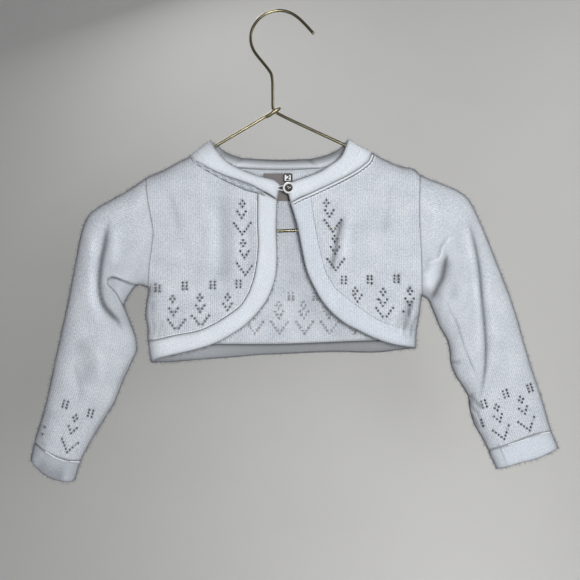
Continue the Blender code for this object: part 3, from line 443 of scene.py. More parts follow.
def side_of_body(name, lines):
    """The seams and folds of one half of the body, divided once for all the pieces that meet there."""
    shoulder = at_shares(stretch_of(lines["top"], "neck_seam", "armhole")[::-1], SHOULDER_STOPS)
    neck = at_shares(smooth(lines["neck"]), NECK_STOPS)
    armhole = at_shares(smooth(lines["armhole"]), ARMHOLE_STOPS)
    flank = at_shares(stretch_of(lines["side"], "armpit", "hem_seam"), FLANK_STOPS)
    upper = join(shoulder, neck)
    outer = join(armhole, flank)
    return {
        "name": name,
        "shoulder": shoulder,
        "neck": neck,
        "armhole": armhole,
        "upper": upper,
        "outer": outer,
        "band_down": at_shares(smooth(lines["band_down"]), shares_of(outer)),
        "band_hem": at_shares(smooth(lines["band_hem"]), shares_of(upper)),
        "cuff_seam": at_shares(smooth(lines["cuff_seam"]), shares_of(armhole)),
        "lines": lines,
    }


RIGHT_LINES = {
    "top": RIGHT_TOP, "underarm": RIGHT_UNDERARM, "side": RIGHT_SIDE, "armhole": RIGHT_ARMHOLE,
    "neck": RIGHT_NECK_SEAM, "band_down": RIGHT_BAND_SEAM_DOWN, "band_hem": RIGHT_BAND_SEAM_HEM,
    "front_edge": RIGHT_FRONT_EDGE, "cuff_seam": RIGHT_CUFF_SEAM, "cuff_edge": RIGHT_CUFF_EDGE,
    "rings": RIGHT_RINGS, "neckband_edge": RIGHT_NECKBAND_EDGE, "neckband_foot": RIGHT_NECKBAND_FOOT,
}
LEFT_LINES = {
    "top": LEFT_TOP, "underarm": LEFT_UNDERARM, "side": LEFT_SIDE, "armhole": LEFT_ARMHOLE,
    "neck": LEFT_NECK_SEAM, "band_down": LEFT_BAND_SEAM_DOWN, "band_hem": LEFT_BAND_SEAM_HEM,
    "front_edge": LEFT_FRONT_EDGE, "cuff_seam": LEFT_CUFF_SEAM, "cuff_edge": LEFT_CUFF_EDGE,
    "rings": LEFT_RINGS, "neckband_edge": LEFT_NECKBAND_EDGE, "neckband_foot": LEFT_NECKBAND_FOOT,
}

SHOULDER_STOPS = stops(lengths(stretch_of(RIGHT_TOP, "neck_seam", "armhole"))[-1], folds=[(0.0, 1)])
NECK_STOPS = stops(lengths(smooth(RIGHT_NECK_SEAM))[-1], folds=[(0.0, 1)])
ARMHOLE_LENGTH = lengths(smooth(RIGHT_ARMHOLE))[-1]
ARMHOLE_STOPS = stops(ARMHOLE_LENGTH, folds=[(0.0, 1), (ARMHOLE_LENGTH, -1)])
FLANK_STOPS = stops(lengths(stretch_of(RIGHT_SIDE, "armpit", "hem_seam"))[-1], [5.0])
BACK_NECK_LENGTH = lengths(smooth(BACK_NECK_SEAM))[-1]
BACK_NECK_STOPS = stops(BACK_NECK_LENGTH, folds=[(0.0, 1), (BACK_NECK_LENGTH, -1)])
RIGHT = side_of_body("right", RIGHT_LINES)
LEFT = side_of_body("left", LEFT_LINES)
RIGHT_SHOULDER_PEAK = stretch_of(RIGHT_TOP, "neck_peak", "neck_seam")[::-1]
LEFT_SHOULDER_PEAK = stretch_of(LEFT_TOP, "neck_peak", "neck_seam")[::-1]
BACK_NECK = at_shares(smooth(BACK_NECK_SEAM), BACK_NECK_STOPS)
BACK_TOP = join(RIGHT["shoulder"], BACK_NECK, LEFT["shoulder"][::-1])
BACK_HEM = at_shares(smooth(BACK_HEM_SEAM), shares_of(BACK_TOP))


def leaning(grid, places, width):
    """Leans a band back towards its free edge, so that it keeps its width, except near both of its ends."""
    seen = np.linalg.norm(grid[:, -1] - grid[:, 0], axis=1)
    along = lengths(grid[:, 0])
    fade = np.clip(np.minimum(along, along[-1] - along) / LEAN_FADE, 0.0, 1.0)
    lean = np.sqrt(np.maximum(width ** 2 - seen ** 2, 0.0)) * fade * fade * (3 - 2 * fade)
    share = lengths(grid[len(grid) // 2])
    places = places.copy()
    places[..., 1] += lean[:, None] * (share / share[-1])[None]
    return places


def as_seen(points):
    """Draws points before the hanger's plane towards the line of sight, to keep their outline."""
    eye = np.array(EYE)
    share = 1 + points[..., 1:2] / -eye[1]
    places = eye + (points - eye) * share
    places[..., 1] = points[..., 1]
    return places


# Pointelle: eyelets in groups. Columns of a group: across, up

GROUPS = {
    "cluster": [(a, b) for a in (-2.0, 2.0) for b in (-3.2, 0.0, 3.2)],
    "diamond": [(0.0, 3.0), (-2.1, 0.0), (2.1, 0.0), (0.0, -3.0)],
    "small_v": [(side * 2.1 * k, 3.25 * k) for k in range(3) for side in ((-1, 1) if k else (1,))],
    "large_v": [(side * 2.08 * k, 2.86 * k) for k in range(5) for side in ((-1, 1) if k else (1,))],
    "column": [(0.0, 3.2), (0.0, 0.0), (0.0, -3.2)],
    "dot": [(0.0, 0.0)],
}

# Columns: group, x, z of its middle, or of the lowest eyelet of a V
RIGHT_FRONT_LACE = [
    ("cluster", -121.5, -276.0), ("cluster", -94.3, -274.0), ("cluster", -66.3, -273.0),
    ("cluster", -40.5, -272.0), ("diamond", -106.6, -287.0), ("diamond", -79.3, -285.7),
    ("diamond", -51.5, -285.3), ("small_v", -105.5, -303.0), ("small_v", -79.0, -300.0),
    ("small_v", -51.5, -298.2), ("large_v", -102.5, -319.2), ("large_v", -78.4, -315.0),
    ("dot", -57.5, -304.0), ("diamond", -36.6, -191.7), ("small_v", -37.4, -206.0),
    ("large_v", -36.7, -222.5), ("diamond", -36.0, -231.2), ("small_v", -34.5, -245.7),
    ("large_v", -33.6, -263.0),
]
LEFT_FRONT_LACE = [
    ("diamond", 47.3, -191.0), ("small_v", 50.4, -204.7), ("large_v", 53.8, -219.6),
    ("diamond", 55.7, -226.8), ("small_v", 56.0, -241.5), ("large_v", 56.8, -258.4),
    ("cluster", 64.8, -268.0), ("cluster", 90.6, -267.5), ("cluster", 117.6, -267.0),
    ("diamond", 76.2, -279.0), ("diamond", 104.0, -280.0), ("diamond", 131.0, -279.3),
    ("small_v", 78.4, -289.6), ("small_v", 103.8, -294.0), ("small_v", 130.6, -293.0),
    ("large_v", 105.6, -307.4), ("dot", 124.5, -299.5),
]
BACK_LACE_PITCH = 24.9
BACK_LACE = [("cluster", 11.8, -284.4), ("diamond", -0.4, -293.3), ("small_v", 0.0, -306.0),
             ("large_v", 0.6, -321.4)]
RIGHT_SLEEVE_TURN = -15.0
RIGHT_SLEEVE_LACE = [
    ("cluster", -213.8, -392.3), ("cluster", -188.5, -401.3), ("diamond", -203.7, -406.0),
    ("small_v", -208.0, -421.3), ("large_v", -212.0, -440.0), ("dot", -234.5, -415.0),
    ("dot", -236.5, -422.0),
]
LEFT_SLEEVE_TURN = 18.0
LEFT_SLEEVE_LACE = [
    ("cluster", 226.7, -381.7), ("cluster", 251.0, -376.0), ("cluster", 205.0, -392.0),
    ("diamond", 242.0, -387.5), ("diamond", 217.7, -395.5), ("small_v", 246.0, -401.7),
    ("small_v", 221.0, -409.5), ("large_v", 250.7, -418.5), ("large_v", 225.4, -427.0),
    ("column", 203.0, -411.0),
]


def eyelets(table, turn=0.0, shift=(0.0, 0.0)):
    """Places (x, z) of all the eyelets of a table of groups."""
    c, s = math.cos(math.radians(turn)), math.sin(math.radians(turn))
    return np.array([(x + shift[0] + a * c - b * s, z + shift[1] + a * s + b * c)
                     for group, x, z in table for a, b in GROUPS[group]])


# Cloth

# Outer face and normals of each sheet, by the name of its piece
FACES = {}
SHARP_CLOTH = math.radians(55)
EDGE_FLAT = 0.03
# How much darker the cloth is painted at its edges, as painted shade where it turns from the light, and how
# far from them in radii of the edge
EDGE_SHADE = 0.42
FINE_EDGE_SHADE = 0.2
FINE_RADIUS = 0.5
EDGE_SHADE_REACH = 1.1
# How dark the ring round each eyelet is painted: painted shade of the hole
EYELET_SHADE = 0.74


class Sheet:
    """A sheet of cloth on a grid of rows and columns, with two faces and coordinates of its knit.

    A closed sheet has its first column again as its last one, and the two are welded.
    """

    def __init__(self, outer, inner, flat, knit, tone, closed, shade, eyelet):
        self.rows, self.columns = outer.shape[:2]
        self.closed = closed
        self.grid = (outer, inner, flat, knit, tone[..., None])
        self.values = [a.reshape(-1, a.shape[-1]) for a in self.grid]
        self.shade = shade
        self.eyelet = eyelet
        self.holes = []

    def at(self, row, column):
        """Values of all the grids at a place between the grid's points."""
        i = min(max(int(math.floor(row)), 0), self.rows - 2)
        j = min(max(int(math.floor(column)), 0), self.columns - 2)
        s, t = row - i, column - j
        return [(1 - s) * ((1 - t) * a[i, j] + t * a[i, j + 1])
                + s * ((1 - t) * a[i + 1, j] + t * a[i + 1, j + 1])
                for a in self.grid]

    def where(self, place, layer):
        """Row and column of a place (x, z) among the columns of one layer, with the slopes there."""
        flat = self.grid[2]
        first, last = layer
        part = flat[:, first:last + 1]
        gap = np.linalg.norm(part - place, axis=-1)
        i, j = np.unravel_index(gap.argmin(), gap.shape)
        i = int(min(max(i, 1), self.rows - 2))
        j = int(min(max(j, 1), part.shape[1] - 2)) + first
        down = (flat[i + 1, j] - flat[i - 1, j]) / 2
        across = (flat[i, j + 1] - flat[i, j - 1]) / 2
        slopes = np.stack([down, across], axis=1)
        inverse = np.linalg.inv(slopes)
        return np.array([i, j]) + inverse @ (place - flat[i, j]), inverse

    def pierce(self, places, layer=None):
        """Notes a round eyelet at each place that has cloth all round it."""
        layer = layer or (0, self.columns - 1)
        for place in places:
            centre, inverse = self.where(place, layer)
            reach = np.abs(inverse).sum(axis=1) * self.eyelet * EYELET_MARGIN
            low, high = centre - reach, centre + reach
            if (low[0] >= 1 and low[1] >= layer[0] + 1
                    and high[0] <= self.rows - 2 and high[1] <= layer[1] - 1):
                self.holes.append((centre, inverse, low, high))

    def finish(self):
        """Faces of the sheet, as loops of its points."""
        cut = np.zeros((self.rows - 1, self.columns - 1), bool)
        for _, _, low, high in self.holes:
            a = np.floor(low).astype(int)
            b = np.floor(high).astype(int)
            cut[a[0]:b[0] + 1, a[1]:b[1] + 1] = True
        i, j = np.nonzero(~cut)
        first = i * self.columns + j
        above = first + self.columns
        self.faces = np.stack([first, first + 1, above + 1, above], axis=1).tolist()
        extra = [[] for _ in self.values]
        count = self.rows * self.columns
        left = {(int(a), int(b)) for a, b in zip(*np.nonzero(cut))}
        while left:
            group = self.flood(left)
            count = self.mesh_round(group, extra, count)
        self.values = [np.vstack([a] + ([np.array(more)] if more else []))
                       for a, more in zip(self.values, extra)]

    def flood(self, left):
        """Takes one connected group of cut cells out of the set."""
        group = set()
        open_cells = [left.pop()]
        while open_cells:
            cell = open_cells.pop()
            group.add(cell)
            for step in ((0, 1), (0, -1), (1, 0), (-1, 0)):
                other = (cell[0] + step[0], cell[1] + step[1])
                if other in left:
                    left.remove(other)
                    open_cells.append(other)
        return group

    def mesh_round(self, group, extra, count):
        """Divides a group of cut cells round its eyelets, with no face inside an eyelet."""
        holes = [h for h in self.holes if (int(math.floor(h[0][0])), int(math.floor(h[0][1]))) in group]
        corners = {(a + s, b + t) for a, b in group for s in (0, 1) for t in (0, 1)}
        points, names, edges = [], [], []
        index = {}
        for corner in sorted(corners):
            ringed = all((corner[0] - s, corner[1] - t) in group for s in (0, 1) for t in (0, 1))
            if ringed and any(self.gap(corner, h) < self.eyelet * EYELET_ROOM for h in holes):
                continue
            index[corner] = len(points)
            points.append(corner)
            names.append(corner[0] * self.columns + corner[1])
        for a, b in sorted(group):
            for step, one, two in (((-1, 0), (a, b), (a, b + 1)), ((1, 0), (a + 1, b), (a + 1, b + 1)),
                                   ((0, -1), (a, b), (a + 1, b)), ((0, 1), (a, b + 1), (a + 1, b + 1))):
                if (a + step[0], b + step[1]) not in group:
                    edges.append((index[one], index[two]))
        for centre, inverse, _, _ in holes:
            start = len(points)
            for k in range(EYELET_SIDES):
                turn = 2 * math.pi * (k + 0.5) / EYELET_SIDES
                way = inverse @ np.array([math.cos(turn), math.sin(turn)]) * self.eyelet
                row, column = centre + way
                points.append((row, column))
                names.append(count)
                count += 1
                values = self.at(row, column)
                # The ring round the hole is painted darker, as painted shade
                values[-1] = values[-1] * self.shade
                for more, value in zip(extra, values):
                    more.append(value)
                edges.append((start + k, start + (k + 1) % EYELET_SIDES))
        result = delaunay_2d_cdt([(c, r) for r, c in points], edges, [], 0, 1e-5)
        found = [names[origin[0]] if origin else None for origin in result[3]]
        for face in result[2]:
            middle = np.mean([(result[0][k][1], result[0][k][0]) for k in face], axis=0)
            if (int(math.floor(middle[0])), int(math.floor(middle[1]))) not in group:
                continue
            if any(self.gap(middle, h) < self.eyelet * EYELET_FLAT for h in holes):
                continue
            loop = [found[k] for k in face]
            if None not in loop:
                self.faces.append(loop)
        return count

    @staticmethod
    def gap(place, hole):
        """Distance in millimetres from the centre of an eyelet."""
        return float(np.linalg.norm(np.linalg.solve(hole[1], np.asarray(place, float) - hole[0])))


def new_object(name, points, faces, material):
    """An object of the scene from points in millimetres."""
    mesh = bpy.data.meshes.new(name)
    mesh.from_pydata((np.asarray(points, float) * MM).tolist(), [], faces)
    mesh.materials.append(material)
    item = bpy.data.objects.new(name, mesh)
    bpy.context.scene.collection.objects.link(item)
    return item


def knit_object(name, sheet, outwards, material, inner_tone):
    """An object from a sheet: both of its faces and the rims between them."""
    outer, inner, _, knit, tone = sheet.values
    total = len(outer)
    weld = np.arange(total)
    if sheet.closed:
        last = np.arange(sheet.rows) * sheet.columns + sheet.columns - 1
        weld[last] = last - (sheet.columns - 1)
    loops = [loop[::-1] for loop in sheet.faces] if outwards else [list(loop) for loop in sheet.faces]
    open_edges = {}
    for loop in loops:
        for k, p in enumerate(loop):
            q = loop[(k + 1) % len(loop)]
            key = (int(weld[p]), int(weld[q]))
            if (key[1], key[0]) in open_edges:
                del open_edges[(key[1], key[0])]
            else:
                open_edges[key] = (p, q)
    faces = list(loops)
    faces += [[k + total for k in loop[::-1]] for loop in loops]
    faces += [[q, p, p + total, q + total] for p, q in open_edges.values()]
    weld = np.concatenate([weld, weld + total])
    used = np.unique(weld[np.concatenate([np.asarray(f) for f in faces])])
    number = np.full(2 * total, -1)
    number[used] = np.arange(len(used))
    points = as_seen(np.vstack([outer, inner])[used])
    item = new_object(name, points, [[int(number[weld[k]]) for k in f] for f in faces], material)
    mesh = item.data
    layer = mesh.uv_layers.new(name="knit")
    both = np.vstack([knit, knit])
    layer.data.foreach_set("uv", both[np.concatenate([np.asarray(f) for f in faces])].ravel())
    # The tone attribute is the painted light and shade of the cloth, squared; the inner face takes it raised
    # to inner_tone
    shades = mesh.attributes.new("tone", "FLOAT", "POINT")
    shades.data.foreach_set("value", np.vstack([tone, tone ** inner_tone])[used].ravel() ** 2)
    mesh.polygons.foreach_set("use_smooth", [True] * len(faces))
    mesh.update()
    mesh.set_sharp_from_angle(angle=SHARP_CLOTH)
    return item


def from_edges(places, sides):
    """Distance of every point of a grid from its named edges, along its rows and columns."""
    far = np.full(places.shape[:2], 1e3)
    down = np.linalg.norm(np.diff(places, axis=0), axis=-1)
    down = np.concatenate([np.zeros((1, down.shape[1])), np.cumsum(down, axis=0)])
    across = np.linalg.norm(np.diff(places, axis=1), axis=-1)
    across = np.concatenate([np.zeros((across.shape[0], 1)), np.cumsum(across, axis=1)], axis=1)
    for letter, gap in (("t", down), ("b", down[-1:] - down), ("l", across), ("r", across[:, -1:] - across)):
        if letter in sides:
            far = np.minimum(far, gap)
    return far


def cloth(name, places, normals, held, thickness, flat, knit, material, closed=False, edges="",
          radius=EDGE_ROUND, lace=(), tone=None, inner_tone=1.0, shade=EYELET_SHADE, eyelet=EYELET_RADIUS):
    """A sheet of cloth from its outer face, rounded at the named edges and pierced by its eyelets."""
    down = np.gradient(places, axis=0)
    across = np.gradient(places, axis=1)
    if closed:
        ring = places[:, :-1]
        turn = np.roll(ring, -1, axis=1) - np.roll(ring, 1, axis=1)
        across = np.concatenate([turn, turn[:, :1]], axis=1)
    square = np.cross(down, across)
    outwards = (square * normals).sum() > 0
    square *= (1.0 if outwards else -1.0) / np.maximum(np.linalg.norm(square, axis=-1, keepdims=True), 1e-9)
    square = np.where(held[..., None], normals, square)
    inner = places - square * thickness
    middle = (places + inner) / 2
    share = np.clip(from_edges(places, edges) / radius, 0.0, 1.0)
    full = np.sqrt(1 - (1 - share) ** 2)[..., None] * (1 - EDGE_FLAT) + EDGE_FLAT
    outer = middle + (places - middle) * full
    inner = middle + (inner - middle) * full
    tone = np.ones(places.shape[:2]) if tone is None else tone
    # Painted shade near the named edges, where the cloth turns away from the light
    depth = EDGE_SHADE if radius > FINE_RADIUS else FINE_EDGE_SHADE
    tone = tone * (1 - depth * np.exp(-from_edges(places, edges) / (radius * EDGE_SHADE_REACH)))
    sheet = Sheet(outer, inner, flat, knit, tone, closed, shade, eyelet)
    for table, layer in lace:
        sheet.pierce(table, layer)
    sheet.finish()
    item = knit_object(name, sheet, outwards, material, inner_tone)
    FACES[name] = (as_seen(outer), square)
    return item


# Materials

def graph(name):
    """A new material with its shader and a helper that adds nodes to it."""
    material = bpy.data.materials.new(name)
    material.use_nodes = True
    tree = material.node_tree
    shader = tree.nodes["Principled BSDF"]

    def add(kind, inputs=(), **settings):
        node = tree.nodes.new("ShaderNode" + kind)
        for key, value in settings.items():
            setattr(node, key, value)
        for key, value in dict(inputs).items():
            if isinstance(value, bpy.types.NodeSocket):
                tree.links.new(value, node.inputs[key])
            else:
                node.inputs[key].default_value = value
        return node

    def calc(operation, *values):
        return add("Math", enumerate(values), operation=operation).outputs[0]

    def mix(share, low, high):
        return add("Mix", {0: share, 6: low, 7: high}, data_type="RGBA").outputs[2]

    return material, tree, shader, add, calc, mix


def knitted(name, light, shade, wale=WALE, course=COURSE, depth=0.32, slope=0.9, mottle=0.5):
    """Knitted cloth: upright wales of V-shaped stitches, fuzzy between them."""
    material, tree, shader, add, calc, mix = graph(name)
    uv = add("UVMap", uv_map="knit").outputs[0]
    wobble = add("TexNoise", {"Vector": uv, "Scale": 0.11, "Detail": 2.0, "Roughness": 0.6})
    shift = add("VectorMath", {0: wobble.outputs[1], 1: (0.5, 0.5, 0.5)}, operation="SUBTRACT").outputs[0]
    shift = add("VectorMath", {0: shift, "Scale": 0.9}, operation="SCALE").outputs[0]
    place = add("VectorMath", {0: uv, 1: shift}, operation="ADD").outputs[0]
    split = add("SeparateXYZ", {0: place})
    across = calc("DIVIDE", split.outputs[0], wale)
    along = calc("DIVIDE", split.outputs[1], course)
    arm = calc("ABSOLUTE", calc("MULTIPLY", calc("SUBTRACT", calc("FRACT", across), 0.5), 2.0))
    leg = calc("SINE", calc("MULTIPLY", calc("ADD", along, calc("MULTIPLY", arm, slope)), 2 * math.pi))
    leg = calc("MULTIPLY_ADD", leg, 0.5, 0.5)
    body = calc("SUBTRACT", 1.0, calc("POWER", arm, 3.0))
    dip = calc("MULTIPLY_ADD", calc("SINE", calc("MULTIPLY", arm, math.pi)), 0.25, 0.75)
    height = calc("MULTIPLY", calc("MULTIPLY", body, dip), calc("MULTIPLY_ADD", leg, 0.45, 0.55))
    fibre = add("TexNoise", {"Vector": uv, "Scale": 0.62, "Detail": 4.0, "Roughness": 0.8}).outputs[0]
    fibre = calc("MULTIPLY_ADD", calc("SUBTRACT", fibre, 0.5), 3.0, 0.5)
    large = add("TexNoise", {"Vector": uv, "Scale": 0.045, "Detail": 3.0, "Roughness": 0.6}).outputs[0]
    # Stitches painted lighter where they stand up and darker between them, as painted light and shade, over
    # the yarn's own uneven tone of fibre and mottle
    tone = calc("MULTIPLY_ADD", height, 0.4, calc("MULTIPLY", fibre, 0.6))
    tone = calc("MULTIPLY_ADD", calc("SUBTRACT", large, 0.5), mottle, tone)
    tone = calc("MINIMUM", calc("MAXIMUM", tone, 0.0), 1.0)
    # The painted light and shade of the mesh's tone attribute scales the colour
    painted_light_and_shade = add("Attribute", attribute_name="tone").outputs["Fac"]
    base = mix(tone, shade, light)
    shaded = add("VectorMath", {0: base, "Scale": painted_light_and_shade}, operation="SCALE").outputs[0]
    tree.links.new(shaded, shader.inputs["Base Color"])
    total = calc("MULTIPLY_ADD", fibre, 0.5, height)
    bump = add("Bump", {"Height": total, "Distance": depth * MM, "Strength": 1.0})
    tree.links.new(bump.outputs[0], shader.inputs["Normal"])
    shader.inputs["Roughness"].default_value = 0.95
    shader.inputs["Specular IOR Level"].default_value = 0.2
    shader.inputs["Sheen Weight"].default_value = 0.25
    shader.inputs["Sheen Roughness"].default_value = 0.45
    return material


def plain(name, colour, roughness, metallic=0.0, specular=0.5, coat=0.0, grain=0.0, scale=900.0, other=None):
    """A smooth material with a little variation of its colour and surface."""
    material, tree, shader, add, calc, mix = graph(name)
    place = add("TexCoord").outputs["Object"]
    noise = add("TexNoise", {"Vector": place, "Scale": scale, "Detail": 3.0, "Roughness": 0.6}).outputs[0]
    tree.links.new(mix(noise, colour, other or colour), shader.inputs["Base Color"])
    bump = add("Bump", {"Height": noise, "Distance": grain * MM, "Strength": 1.0})
    tree.links.new(bump.outputs[0], shader.inputs["Normal"])
    shader.inputs["Roughness"].default_value = roughness
    shader.inputs["Metallic"].default_value = metallic
    shader.inputs["Specular IOR Level"].default_value = specular
    shader.inputs["Coat Weight"].default_value = coat
    return material


JERSEY = knitted("jersey", (0.96, 0.98, 1.0, 1.0), (0.36, 0.395, 0.46, 1.0), depth=0.34)
BAND_KNIT = knitted("band_knit", (0.93, 0.955, 0.98, 1.0), (0.60, 0.635, 0.68, 1.0), depth=0.14, mottle=0.3)
PLAIN_BAND = knitted("plain_band_knit", (0.90, 0.93, 0.975, 1.0), (0.50, 0.54, 0.60, 1.0), depth=0.26,
                     mottle=0.35)
# The fibres are real fuzz; their grey, darker than the white wool, is painted shade
HAIR = plain("fuzz", (0.40, 0.43, 0.48, 1.0), 1.0, specular=0.1, other=(0.80, 0.83, 0.88, 1.0))
# The stray fibres at the edges are near black: painted shade along the outlines
PAINTED_SHADE_FIBRE = plain("edge_fuzz_painted_shade", (0.05, 0.052, 0.056, 1.0), 1.0, specular=0.1, other=(0.34, 0.35, 0.38, 1.0))
# The linking strip's knit is painted grey, as painted shade under the neckband's lower edge
LINKING = knitted("linking_knit", (0.56, 0.59, 0.63, 1.0), (0.20, 0.22, 0.25, 1.0), depth=0.3, mottle=0.5)
THREAD = plain("thread", (0.80, 0.83, 0.87, 1.0), 0.9, specular=0.2, other=(0.92, 0.94, 0.96, 1.0), grain=0.1)
# The linking yarn is greyer than the thread: painted shade on the same white yarn
YARN = plain("linking_yarn", (0.50, 0.53, 0.57, 1.0), 0.9, specular=0.2, other=(0.72, 0.75, 0.79, 1.0),
             grain=0.1)
# A near-black yarn laid where the stitches cast shadow: painted shadow
PAINTED_SHADOW_YARN = plain("painted_shadow_yarn", (0.15, 0.16, 0.175, 1.0), 0.9, specular=0.1, other=(0.26, 0.27, 0.29, 1.0))
SATIN = plain("satin_label", (0.125, 0.105, 0.097, 1.0), 0.5, grain=0.05, other=(0.165, 0.142, 0.132, 1.0))
TAB = plain("printed_tab", (0.86, 0.87, 0.88, 1.0), 0.6, other=(0.93, 0.93, 0.93, 1.0), grain=0.05)
INK = plain("ink", (0.02, 0.02, 0.022, 1.0), 0.6, other=(0.05, 0.05, 0.055, 1.0))
GOLD = plain("gilt_wire", (0.25, 0.225, 0.14, 1.0), 0.25, metallic=1.0, other=(0.14, 0.122, 0.07, 1.0),
             scale=260.0)
PEARL = plain("pearl", (0.74, 0.74, 0.71, 1.0), 0.22, specular=0.6, coat=0.6, other=(0.88, 0.88, 0.86, 1.0))
STONE = plain("faceted_stone", (0.012, 0.012, 0.013, 1.0), 0.08, specular=0.7, coat=0.5,
              other=(0.09, 0.085, 0.08, 1.0), scale=700.0)


# Creases

WRINKLE_HEIGHT = 0.3
WRINKLE_WAVES = (70.0, 46.0, 31.0, 21.0, 15.0)
# How many waves of each length there are, and what brings their sum to about the height
WRINKLE_COUNT = 3
WRINKLE_SUM = 2.2


def wrinkles(points, seed):
    """Small soft unevenness of hanging cloth, the same on each run."""
    random = np.random.default_rng(seed)
    total = np.zeros(points.shape[:-1])
    for wave in WRINKLE_WAVES:
        for _ in range(WRINKLE_COUNT):
            turn = random.uniform(-0.5, 0.5)
            phase = random.uniform(0, 2 * math.pi)
            way = np.array([math.cos(turn), math.sin(turn)]) * 2 * math.pi / wave
            total += np.sin(points @ way + phase) * (wave / WRINKLE_WAVES[0]) ** 0.8
    return total * WRINKLE_HEIGHT / WRINKLE_SUM


